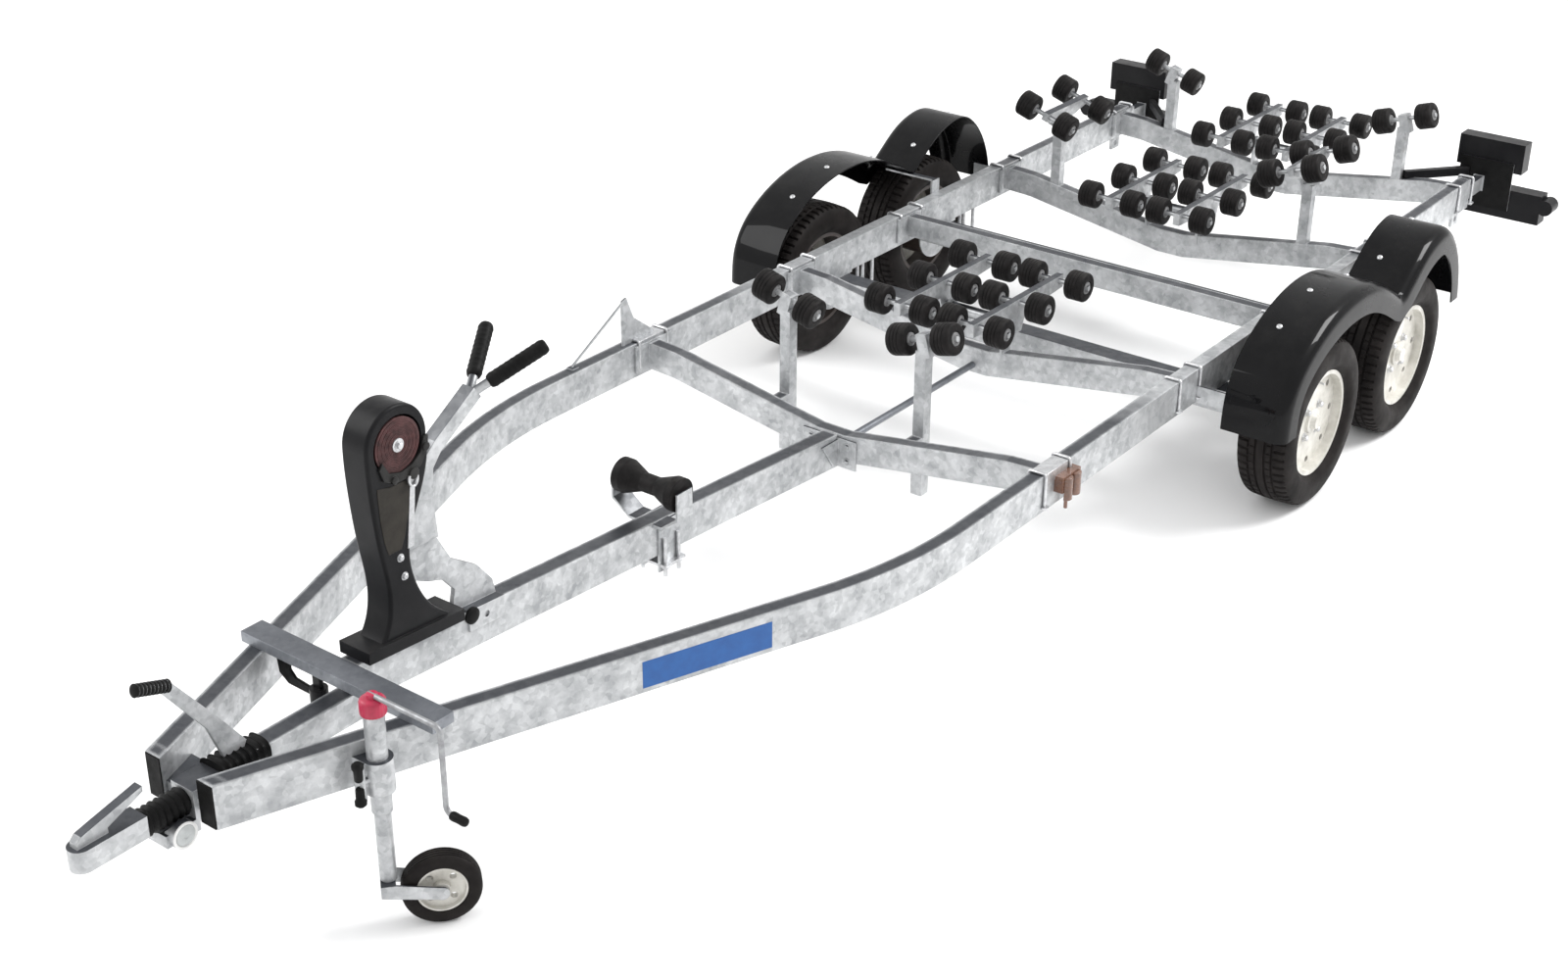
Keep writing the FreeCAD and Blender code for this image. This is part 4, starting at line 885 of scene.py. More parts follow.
@dataclass
class HullRollers(Fitting):
    """All small rollers that carry the hull: rubber bodies with a ribbed tread, pale hubs and pin ends."""

    radius: float = 0.0525
    width: float = 0.070
    bore: float = 0.012
    shoulder: float = 0.010
    hub_radius: float = 0.023
    groove_places: tuple[float, ...] = (-0.013, 0.0, 0.013)
    groove_depth: float = 0.002
    column: float = 0.092
    front_column: float = 0.085
    row: float = 0.260
    arm_x: float = 0.148
    outer_column: float = 0.090
    outer_row: float = 0.140
    outer_rise: float = 0.052
    steps: int = 36
    hub_steps: int = 24
    front: float = 3.000
    middle: float = 3.7451
    aft: float = 5.1901
    rear: float = 6.1303

    def sets(self) -> Iterator[RollerSet]:
        """Finds the pairs on posts and the outer cradles of each side, then the central cradles.

        Returns:
            Each set in turn.
        """
        for side in Side:
            tag, edges = "_rollers_" + side.label, (-self.outer_row, self.outer_row)
            front, rear, aft = (0.265, self.front, 0.768), (0.527, self.rear, 0.748), (0.545, self.aft, 0.768)
            yield self.leaning(side, "front" + tag, "front" + tag, front, 15.0, self.front_column)
            yield self.leaning(side, "rear" + tag, "rear" + tag, rear, 18.0, self.column)
            cradle, rise = "outer_cradle_" + side.label, self.outer_rise
            yield self.leaning(side, "outer" + tag, cradle, aft, 18.0, self.outer_column, edges, rise)
        for label, station, height in (
            ("middle", self.middle, 0.618), ("aft", self.aft, 0.588), ("rear", self.rear, 0.592)
        ):
            places = tuple(
                (arm * self.arm_x + a * self.column, along(station) + b * self.row, height)
                for arm in (-1, 1) for a in (-1, 1) for b in (-1, 0, 1)
            )
            yield RollerSet(f"cradle_rollers_{label}", f"cradle_{label}", places)

    def leaning(
        self, side: Side, node: str, body: str, middle: Point, lean: float, column: float,
        rows: Sequence[float] = (0.0,), rise: float = 0.0,
    ) -> RollerSet:
        """Finds the rollers of one post or outer cradle, two in each row.

        Args:
            side: the side that it is on.
            node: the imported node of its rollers.
            body: what they ride on.
            middle: x, station and height that it leans about.
            lean: degrees by which it leans.
            column: distance of each roller from the middle across the row.
            rows: places of the rows along the trailer, from the middle.
            rise: height of the rollers over the middle.

        Returns:
            The set.
        """
        x, station, z = middle
        places = tuple(
            (side.value * (x + a * column), along(station) + row, z + rise) for a in (-1, 1) for row in rows
        )
        return RollerSet(node, body, places, side.value * lean, side.value * x, z)

    def tread_profile(self) -> list[Flat]:
        """Half-round shoulders and shallow grooves: radius falls by the groove depth at each groove.

        Returns:
            A profile that returns to its start.
        """
        half, edge, hub = self.width / 2, self.shoulder, self.hub_radius
        turn = np.linspace(0, QUARTER, 5)
        left = [(-half + edge * (1 - math.cos(t)), self.radius - edge * (1 - math.sin(t))) for t in turn]
        tread = grooves(self.groove_places, 0.0022, 0.001, self.radius, self.radius - self.groove_depth)
        rim = [(half, hub + 0.003), (half - 0.004, hub), (half - 0.004, self.bore)]
        loop = flipped(rim) + left + tread + flipped(left) + rim
        return loop + [loop[0]]

    def hub_profile(self) -> list[Flat]:
        """A pale disc that fills the end of the rubber, with a raised boss.

        Returns:
            A profile that returns to its start.
        """
        half = self.width / 2
        return [
            (half - 0.0045, 0.0225), (half - 0.001, 0.0215), (half - 0.0005, 0.016), (half + 0.0015, 0.0145),
            (half + 0.0015, 0.0105), (half - 0.0045, 0.0105), (half - 0.0045, 0.0225),
        ]

    def pieces(self) -> Iterator[Piece]:
        """Makes the rubber and the hubs of every set.

        Returns:
            The pieces in order.
        """
        for rollers in self.sets():
            centres, axis = rollers.centres(), np.array(rollers.axis())
            name, body, hub = rollers.node, rollers.body, self.hub_profile()
            rubber = turned(self.tread_profile(), centres, axis, self.steps)
            yield Piece(name + "_rubber", rubber, "black_rubber", body=body, replaces=(name,))
            hubs = Surface.joined(turned(hub, centres, way, self.hub_steps) for way in (axis, -axis))
            yield Piece(name + "_hubs", hubs, "black_rubber", "hub_grey", body)


# Road wheels


@dataclass
class RoadWheels(Fitting):
    """Four tyres with a blocked tread, and the nuts and valve of each wheel."""

    radius: float = 0.295
    middle_x: float = 1.040
    half_width: float = 0.0975
    seat: float = 0.178
    stations: Flat = (4.1512, 4.8652)
    pitches: int = 60
    steps_a_pitch: int = 7
    groove_depth: float = 0.007
    tread_share: float = 0.70
    crown: float = 0.0035
    tread_height: float = 0.030
    side_shares: tuple[Flat, ...] = (
        (0.75, 0.0), (0.80, 0.10), (0.955, 0.25), (1.0, 0.46), (0.985, 0.64), (0.935, 0.80), (0.86, 0.905),
        (0.76, 0.962), (0.70, 0.975),
    )
    nut: tuple[Flat, ...] = ((-0.001, 0.0115), (0.011, 0.0115), (0.0155, 0.0085), (0.0175, 0.003))
    washer: tuple[Flat, ...] = ((-0.001, 0.015), (0.002, 0.0145))
    valve: tuple[Flat, ...] = ((0.0, 0.004), (0.030, 0.004), (0.032, 0.003))
    face: float = 0.045
    nut_circle: float = 0.066
    valve_radius: float = 0.147

    def section(self) -> np.ndarray:
        """Closed outline as (offset from the middle, radius): bead, sidewall, shoulder, tread and back.

        Returns:
            n by 2 array.
        """
        wall, edge = self.radius - self.seat, self.half_width * self.tread_share
        side = smoothed_path([(self.half_width * a, self.seat + wall * b) for a, b in self.side_shares], 22)
        across = np.linspace(edge, -edge, 54)[1:-1]
        tread = np.stack([across, self.radius - self.crown * (across / edge) ** 2], axis=1)
        return np.concatenate([side, tread, side[::-1] * np.array((-1.0, 1.0))])

    def tread_cut(self, offset: np.ndarray, step: np.ndarray) -> np.ndarray:
        """Depth cut from the tread: four grooves round, and staggered slots across the shoulders.

        Args:
            offset: distance from the middle, one per column.
            step: whole step round the tyre, one per row.

        Returns:
            rows by columns of 0 to 1.
        """
        place = np.abs(offset)[None, :]
        rings = (np.abs(place - 0.016) < 0.0042) | (np.abs(place - 0.043) < 0.0040)
        phase = (step[:, None] + np.where(offset > 0, 0, 3)[None, :]) % self.steps_a_pitch
        slot = (phase < 2) & (place > 0.047) & (place < 0.084)
        middle = (phase == 4) & (place < 0.040) & (place > 0.018)
        return np.maximum(rings | slot, middle * 0.6)

    def tyre(self, station: float) -> Surface:
        """Carries the section round the axle and lowers it by the tread cut.

        A point is (middle + offset, y + r cos t, z + r sin t) with r = radius - depth * cut.

        Args:
            station: the axle's station.

        Returns:
            The right-hand tyre.
        """
        shape = self.section()
        step = np.arange(self.pitches * self.steps_a_pitch)
        angle = (FULL_TURN * step / len(step))[:, None]
        deep = shape[:, 1] > self.radius - self.tread_height
        radius = shape[None, :, 1] - self.groove_depth * self.tread_cut(shape[:, 0], step) * deep[None, :]
        y, z = along(station) + radius * np.cos(angle), self.radius + radius * np.sin(angle)
        return outward(grid_surface(spots(self.middle_x + shape[None, :, 0], y, z), True, True))

    def nuts(self, station: float) -> Surface:
        """Four domed wheel nuts with washers on their circle, and a valve.

        Args:
            station: the axle's station.

        Returns:
            The right-hand wheel's small parts.
        """
        face, y = self.middle_x + self.face, along(station)
        angle = math.pi / 4 + FULL_TURN * np.arange(4) / 4
        ring = self.nut_circle
        centres = spots(face, y + ring * np.cos(angle), self.radius + ring * np.sin(angle))
        valve = turned(self.valve, (face, y, self.radius + self.valve_radius), (1.0, 0.0, -0.15), 12)
        nuts, washers = turned(self.nut, centres, OUTBOARD, 6), turned(self.washer, centres, OUTBOARD, 20)
        return Surface.joined([nuts, washers, valve])

    def pieces(self) -> Iterator[Piece]:
        """Makes each tyre and its wheel's small parts.

        Returns:
            The pieces in order.
        """
        for label, station in zip(("front", "rear"), self.stations):
            for side in Side:
                tag = f"{label}_{side.label}"
                tyre, nuts, body = self.tyre(station).on(side), self.nuts(station).on(side), "wheel_" + tag
                yield Piece("tread_tyre_" + tag, tyre, "tyre", None, body, ("tyre_" + tag,), smooth_deg=28.0)
                yield Piece("wheel_nuts_" + tag, nuts, "galvanised", "bolts", body)


# Rails and what is fixed to them


@dataclass(frozen=True)
class RailLine:
    """The right-hand rail in plan: straight at the rear, an arc at the bend, and straight to the nose."""

    bend_radius: float = 1.540
    bend_end: float = 2.417
    outer: float = 0.817
    taper_deg: float = 20.9
    front: float = 0.310
    rear: float = 6.189872
    width: float = 0.050
    low: float = 0.413
    high: float = 0.533
    wall: float = 0.005

    def edge(self, station: np.ndarray | float, inset: float = 0.0) -> np.ndarray:
        """Returns x of a line that lies inset from the outer face.

        Args:
            station: where along the rail.
            inset: distance from the outer face, square to it.

        Returns:
            The x values.
        """
        taper = math.radians(self.taper_deg)
        place = np.asarray(station, float)
        centre = self.outer - self.bend_radius
        radius = self.bend_radius - inset
        arc_x = centre + np.sqrt(np.maximum(radius**2 - (self.bend_end - place) ** 2, 0.0))
        first_y = self.bend_end - radius * math.sin(taper)
        nose_x = centre + radius * math.cos(taper) - math.tan(taper) * (first_y - place)
        return np.where(place >= self.bend_end, self.outer - inset, np.where(place >= first_y, arc_x, nose_x))


@dataclass
class RailTrim(Fitting):
    """The blank blue label, the plugs in the rails' ends and the clamps that hold the crossmembers."""

    line: RailLine = RailLine()
    label_run: Flat = (1.353, 1.715)
    label_heights: Flat = (0.426, 0.505)
    label_skin: Flat = (-0.0005, 0.0008)
    plug_lip: float = 0.004
    plug_depth: float = 0.030
    lip_gap: float = 0.001
    plug_play: float = 0.0005
    members: tuple[float, ...] = (2.9001531, 3.7450669, 4.4500348, 5.1900908, 6.1301831)
    clamp_spread: float = 0.070
    clamp_rod: float = 0.0055
    clamp_bend: float = 0.010

    def label(self) -> Surface:
        """A thin sheet that follows the near rail's outer face.

        Returns:
            The label.
        """
        station = np.linspace(*self.label_run, 40)
        (inner, outer), (low, high) = self.label_skin, self.label_heights
        skin = [(inner, low), (outer, low), (outer, high), (inner, high)]
        ring = [spots(self.line.edge(station) + out, along(station), z) for out, z in skin]
        return outward(grid_surface(np.stack(ring, axis=1), False, True, caps=True))

    def plug(self, mouth: float, sign: float) -> Surface:
        """A plug: a lip over the rail's whole end and a body inside the walls.

        Args:
            mouth: station of the rail's end.
            sign: -1 for the front end, 1 for the rear end.

        Returns:
            The right-hand plug.
        """
        line = self.line
        parts = []
        for reach, gap in ((self.plug_lip, self.lip_gap), (-self.plug_depth, line.wall + self.plug_play)):
            end = mouth + sign * reach
            corners = ((mouth, gap), (end, gap), (end, line.width - gap), (mouth, line.width - gap))
            outline = [(float(line.edge(station, inset)), along(station)) for station, inset in corners]
            parts.append(extruded(outline, line.low + gap, line.high - gap, axis=2))
        return Surface.joined(parts)

    def clamps(self, station: float) -> Surface:
        """Two rods bent over the rail, with a nut under each outer leg.

        Args:
            station: middle of the crossmember.

        Returns:
            The right-hand rods and nuts.
        """
        line, rod = self.line, self.clamp_rod
        left, right, top = line.outer - line.width - rod, line.outer + rod, line.high + rod
        corners = [(right, line.low + 0.012), (right, top), (left, top), (left, line.low + 0.030)]
        route = rounded_route(corners, self.clamp_bend, 6)
        skins = []
        for shift in (-self.clamp_spread, self.clamp_spread):
            y = along(station + shift)
            skins.append(tube(spots(route[:, 0], y, route[:, 1]), rod, 10))
            skins.append(bolts((right, y, line.low + 0.020), DOWN, 0.010))
        return Surface.joined(skins)

    def pieces(self) -> Iterator[Piece]:
        """Makes the label, the plugs and the clamps of both rails.

        Returns:
            The pieces in order.
        """
        yield Piece("blank_blue_label", self.label(), "cap_red", "label_blue")
        plugs = Surface.joined([self.plug(self.line.front, -1.0), self.plug(self.line.rear, 1.0)])
        rods = Surface.joined(self.clamps(station) for station in self.members)
        for side in Side:
            ends, clamps = plugs.on(side), rods.on(side)
            yield Piece("rail_plugs_" + side.label, ends, "black_plastic", "dull_black", bevel=0.0012)
            yield Piece("rail_clamps_" + side.label, clamps, "galvanised", "bolts")


# Running gear


@dataclass
class AxleClamps(Fitting):
    """Rods bent under each axle beam that hold it up against the rails."""

    stations: Flat = (4.1512, 4.8652)
    x: float = 0.792
    beam_middle: float = 0.363
    beam_half: float = 0.040
    rod: float = 0.007
    play: float = 0.002
    bend: float = 0.014
    rail_low: float = 0.413
    spread: float = 0.022

    def pieces(self) -> Iterator[Piece]:
        """Makes the rods of both axles on both sides: down, across below the beam, and up again.

        Returns:
            The pieces in order.
        """
        reach = self.beam_half + self.rod + self.play
        low = self.beam_middle - self.beam_half - self.rod
        corners = [(-reach, self.rail_low), (-reach, low), (reach, low), (reach, self.rail_low)]
        route = rounded_route(corners, self.bend, 6)
        rods = [
            tube(spots(self.x + shift, along(station) + route[:, 0], route[:, 1]), self.rod, 10)
            for station in self.stations for shift in (-self.spread, self.spread)
        ]
        yield Piece("axle_clamps", Surface.joined(rods).paired(), "galvanised", "bolts")


@dataclass
class GuardSkins(Fitting):
    """Moulded mudguards: one sheet over both wheels, its outer edge rounded over into a deep skirt."""

    inner_x: float = 0.925
    outer_x: float = 1.150
    crease: float = 0.09
    thickness: float = 0.005
    skirt: float = 0.098
    corner: float = 0.044
    front: float = 3.78319
    valley: float = 4.70019
    rear: float = 5.28219
    low: float = 0.356
    rise: float = 0.384
    samples: int = 72
    end_samples: int = 12
    front_shares: tuple[Flat, ...] = (
        (0.0, 0.0), (0.015, 0.32), (0.075, 0.57), (0.175, 0.755), (0.315, 0.90), (0.52, 0.98), (0.73, 0.92),
        (0.89, 0.76), (1.0, 0.61),
    )
    rear_shares: tuple[Flat, ...] = (
        (0.0, 0.61), (0.13, 0.75), (0.28, 0.895), (0.48, 0.99), (0.62, 0.985), (0.74, 0.89), (0.86, 0.70),
        (0.95, 0.44), (1.0, 0.125),
    )
    bolt_stations: tuple[float, ...] = (3.996, 4.205, 4.520, 4.800, 5.060)
    bolt_x: float = 1.0
    dome: tuple[Flat, ...] = ((-0.001, 0.011), (0.0015, 0.0105), (0.004, 0.008), (0.0055, 0.004))

    def path(self) -> tuple[np.ndarray, np.ndarray]:
        """Finds the top line as (station, height), and at each sample the way into the wheel arch.

        Returns:
            The line and the ways, each n by 2.
        """
        spans = ((self.front_shares, self.front, self.valley), (self.rear_shares, self.valley, self.rear))
        first, second = (
            smoothed_path(
                [(start + a * (end - start), self.low + b * self.rise) for a, b in shares], self.samples
            )
            for shares, start, end in spans
        )
        line = np.concatenate([first, second[1:]])
        tangent = np.gradient(line, axis=0)
        tangent /= np.linalg.norm(tangent, axis=1, keepdims=True)
        inward = np.stack([tangent[:, 1], -tangent[:, 0]], axis=1)
        place = np.arange(len(line)) - (len(line) - self.end_samples)
        share = np.clip(place / (self.end_samples - 1), 0, 1)[:, None]
        inward = inward * (1 - share) + np.array((-1.0, 0.0)) * share
        inward[0] = (1.0, 0.0)
        return line, inward / np.linalg.norm(inward, axis=1, keepdims=True)

    def section(self) -> np.ndarray:
        """Closed outline as (x, depth below the top line): flat, quarter round, skirt and back inside.

        Returns:
            n by 2 array.
        """
        turn = np.linspace(QUARTER, 0, 9)
        x0, r, t = self.outer_x - self.corner, self.corner, self.thickness
        outer, inner = (np.stack([x0 + s * np.cos(turn), r - s * np.sin(turn)], axis=1) for s in (r, r - t))
        edge, fold = self.outer_x, self.inner_x + self.crease
        skirt = [(edge, self.skirt), (edge - t * 0.6, self.skirt + 0.001), (edge - t, self.skirt)]
        return np.concatenate(
            [[(self.inner_x, 0.0), (fold, 0.0)], outer, skirt, inner[::-1], [(fold, t), (self.inner_x, t)]]
        )

    def skin(self) -> Surface:
        """Carries the section along the top line: (x, y + depth * inward_y, z + depth * inward_z).

        Returns:
            The right-hand sheet.
        """
        line, inward = self.path()
        x, depth = self.section().T[:, None]
        y, z = along(line[:, :1]) + inward[:, :1] * depth, line[:, 1:] + inward[:, 1:] * depth
        return outward(grid_surface(spots(x, y, z), False, True, caps=True))

    def heads(self) -> Surface:
        """Small domed heads on the top line, square to the sheet.

        Returns:
            The right-hand heads.
        """
        line, inward = self.path()
        k = np.abs(line[:, 0] - np.array(self.bolt_stations)[:, None]).argmin(axis=1)
        centres = spots(self.bolt_x, along(line[k, 0]), line[k, 1])
        return turned(self.dome, centres, spots(0.0, -inward[k, 0], -inward[k, 1]), 16)

    def pieces(self) -> Iterator[Piece]:
        """Makes both guards and their fixings.

        Returns:
            The pieces in order.
        """
        for side in Side:
            name, skin = "mudguard_" + side.label, self.skin().on(side)
            yield Piece(
                "moulded_" + name, skin, "black_plastic", "gloss_black", replaces=(name,), smooth_deg=50.0
            )
            yield Piece("fixings_" + name, self.heads().on(side), "galvanised", "bolts")


# Nose, coupling and jockey wheel


@dataclass
class NoseTrim(Fitting):
    """Boot on the nose tube, ring and cap on the housing's side, and the sleeve on the brake lever."""

    boot_run: Flat = (0.402, 0.545)
    boot_half_width: float = 0.047
    boot_half_height: float = 0.036
    boot_middle: float = 0.470
    boot_folds: int = 7
    fold_depth: float = 0.17
    boot_taper: float = 0.10
    squareness: float = 0.75
    disc: Point = (0.056, 0.266, 0.395)
    disc_radius: float = 0.035
    disc_steps: int = 48
    grip_start: Flat = (0.31216, 0.75994)
    grip_end: Flat = (0.22496, 0.7906)
    grip_radius: float = 0.0158
    grip_ribs: int = 9

    def boot(self) -> Surface:
        """Folded rubber round a flat tube: a section scaled by (1 - 0.17 |sin|^0.7) * (1 - 0.1 share).

        Returns:
            The boot.
        """
        share = np.linspace(0, 1, self.boot_folds * 8 + 1)[:, None]
        scale = 1.0 - self.fold_depth * np.abs(np.sin(share * math.pi * self.boot_folds)) ** 0.7
        scale = scale * (1.0 - self.boot_taper * share)
        angle = FULL_TURN * np.arange(40) / 40
        x, z = (np.sign(wave) * np.abs(wave) ** self.squareness for wave in (np.cos(angle), np.sin(angle)))
        start, end = self.boot_run
        y = along(start + share * (end - start))
        across, up = scale * x * self.boot_half_width, scale * z * self.boot_half_height
        points = spots(across, y, self.boot_middle + up)
        return outward(grid_surface(points, False, True, caps=True))

    def grip(self) -> Surface:
        """A ribbed sleeve over the lever's end: the radius swells at each rib and closes round at the tip.

        Returns:
            The sleeve.
        """
        start, end = np.array(self.grip_start), np.array(self.grip_end)
        length = float(np.linalg.norm(end - start))
        share = np.linspace(0.0, 1.0, 55)
        radius = self.grip_radius * (1.0 + 0.05 * np.cos(share * FULL_TURN * self.grip_ribs))
        tip = [(length + 0.002, 0.012), (length + 0.003, 0.006)]
        profile = [(-0.002, 0.010), *zip(share * length, radius), *tip]
        return turned(profile, (0.0, along(start[0]), start[1]), (0.0, *(end - start)), 28)

    def pieces(self) -> Iterator[Piece]:
        """Makes the nose's small pieces.

        Returns:
            The pieces in order.
        """
        yield Piece("nose_boot", self.boot(), "black_rubber", "dull_black", smooth_deg=60.0)
        yield Piece("lever_grip", self.grip(), "black_rubber", "dull_black", smooth_deg=50.0)
        x, station, z = self.disc
        r, inside = self.disc_radius, self.disc_radius - 0.008
        ring = [(-0.001, r), (0.0025, r), (0.0035, r - 0.002), (0.0035, r - 0.006), (0.001, inside),
                (-0.001, inside), (-0.001, r)]
        cap = [(-0.001, inside), (0.002, r - 0.009), (0.004, r - 0.016), (0.0045, 0.008), (0.003, 0.006),
               (0.003, 0.001)]
        for name, profile, finish in (("ring", ring, "pale_ring"), ("cap", cap, "cap_grey")):
            disc = turned(profile, (x, along(station), z), OUTBOARD, self.disc_steps)
            yield Piece("housing_" + name, disc, "galvanised", finish)


@dataclass
class JockeyTrim(Fitting):
    """Head, crank, clamp sleeves and the ribbed tyre of the jockey wheel."""

    x: float = 0.287947
    station: float = 0.660
    tube_top: float = 0.622
    cap_radius: float = 0.033
    cap_height: float = 0.042
    cap_rows: tuple[Flat, ...] = (
        (0.0, 0.96), (0.004, 1.0), (0.033, 1.0), (0.038, 0.95), (0.042, 0.80), (0.0435, 0.45),
        (0.054, 0.42), (0.0555, 0.36),
    )
    flute_depth: float = 0.022
    crank_start: float = -0.012
    crank_reach: float = 0.225
    crank_drop: float = 0.235
    crank_radius: float = 0.007
    crank_bend: float = 0.020
    grip_length: float = 0.062
    grip_radius: float = 0.012
    grip_shares: tuple[Flat, ...] = (
        (0.016, 0.6), (0.018, 0.9), (0.024, 1.0), (0.040, 0.93), (0.058, 1.0), (0.0645, 0.85),
        (0.067, 0.45),
    )
    trail: float = 0.126
    yaw_deg: float = 40.3
    wheel_radius: float = 0.100
    half: float = 0.027
    seat: float = 0.064
    side_shares: tuple[Flat, ...] = (
        (0.8, 0.0), (0.97, 0.12), (1.0, 0.34), (0.98, 0.62), (0.88, 0.84), (0.70, 0.97),
    )
    rib_places: tuple[float, ...] = (0.013, 0.0045, -0.0045, -0.013)
    clamp_bar_station: float = 0.597
    clamp_middle: float = 0.452
    sleeve_radius: float = 0.011
    sleeve_shares: tuple[Flat, ...] = (
        (0.010, 0.8), (0.014, 1.0), (0.040, 1.05), (0.046, 1.35), (0.056, 1.35), (0.062, 0.8),
    )

    @property
    def crank_top(self) -> float:
        """Height of the crank's upper run."""
        return self.tube_top + self.cap_height + self.crank_radius

    def cap(self) -> Surface:
        """The head: a drum with shallow flutes, a domed top and a boss.

        Returns:
            The head.
        """
        angle = FULL_TURN * np.arange(96) / 96
        height, size = np.array(self.cap_rows).T[:, :, None]
        fluted = (np.arange(len(height)) < 4)[:, None] * self.flute_depth * np.abs(np.sin(angle * 12))
        radius = self.cap_radius * (size - fluted)
        y = along(self.station) + radius * np.sin(angle)
        points = spots(self.x + radius * np.cos(angle), y, self.tube_top + height)
        return outward(grid_surface(points, False, True, caps=True))

    def crank(self) -> Surface:
        """A bent rod: out from the boss, round a bend, down, and out again to the grip.

        Returns:
            The rod.
        """
        top, out = self.crank_top, self.x + self.crank_reach
        low = top - self.crank_drop
        end = out + self.grip_length * 0.9
        corners = [(self.x + self.crank_start, top), (out, top), (out, low), (end, low)]
        route = rounded_route(corners, self.crank_bend, 8)
        return tube(spots(route[:, 0], along(self.station), route[:, 1]), self.crank_radius, 14)

    def grip(self) -> Surface:
        """The turning grip, a barrel with rounded ends."""
        place = (self.x + self.crank_reach, along(self.station), self.crank_top - self.crank_drop)
        return turned([(a, self.grip_radius * r) for a, r in self.grip_shares], place, OUTBOARD, 24)

    def tyre(self) -> Surface:
        """A solid tyre with ribs round it, turned about the axle of the swivelled fork.

        Returns:
            The tyre.
        """
        yaw = math.radians(self.yaw_deg)
        sin, cos = math.sin(yaw), math.cos(yaw)
        centre = (self.x + self.trail * sin, along(self.station) + self.trail * cos, self.wheel_radius)
        rim = self.wheel_radius
        side = [(self.half * a, self.seat + (rim - self.seat) * b) for a, b in self.side_shares]
        tread = grooves(self.rib_places, -0.0018, -0.001, rim - 0.0002, rim - 0.003)
        loop = side + tread + flipped(side)
        return turned(loop + [loop[0]], centre, (cos, -sin, 0.0), 72)

    def sleeves(self) -> Surface:
        """Black sleeves on the clamp's bar, above and below the screw, each with a ball end.

        Returns:
            Both sleeves.
        """
        profile = [(a, self.sleeve_radius * r) for a, r in self.sleeve_shares]
        centre = (self.x, along(self.clamp_bar_station), self.clamp_middle)
        return turned(profile, [centre] * 2, [DOWN, UP], 24)

    def pieces(self) -> Iterator[Piece]:
        """Makes the jockey wheel's pieces.

        Returns:
            The pieces in order.
        """
        head = ("jockey_head",)
        yield Piece("jockey_cap", self.cap(), "cap_red", replaces=head, smooth_deg=40.0)
        yield Piece("jockey_crank", self.crank(), "galvanised", "crank_steel", replaces=head)
        yield Piece("jockey_crank_grip", self.grip(), "black_plastic", "dull_black", replaces=head)
        yield Piece("ribbed_jockey_tyre", self.tyre(), "tyre", body="jockey_wheel", replaces=("jockey_tyre",))
        yield Piece("jockey_clamp_sleeve", self.sleeves(), "black_plastic", "dull_black")


# Winch tower and bow stand


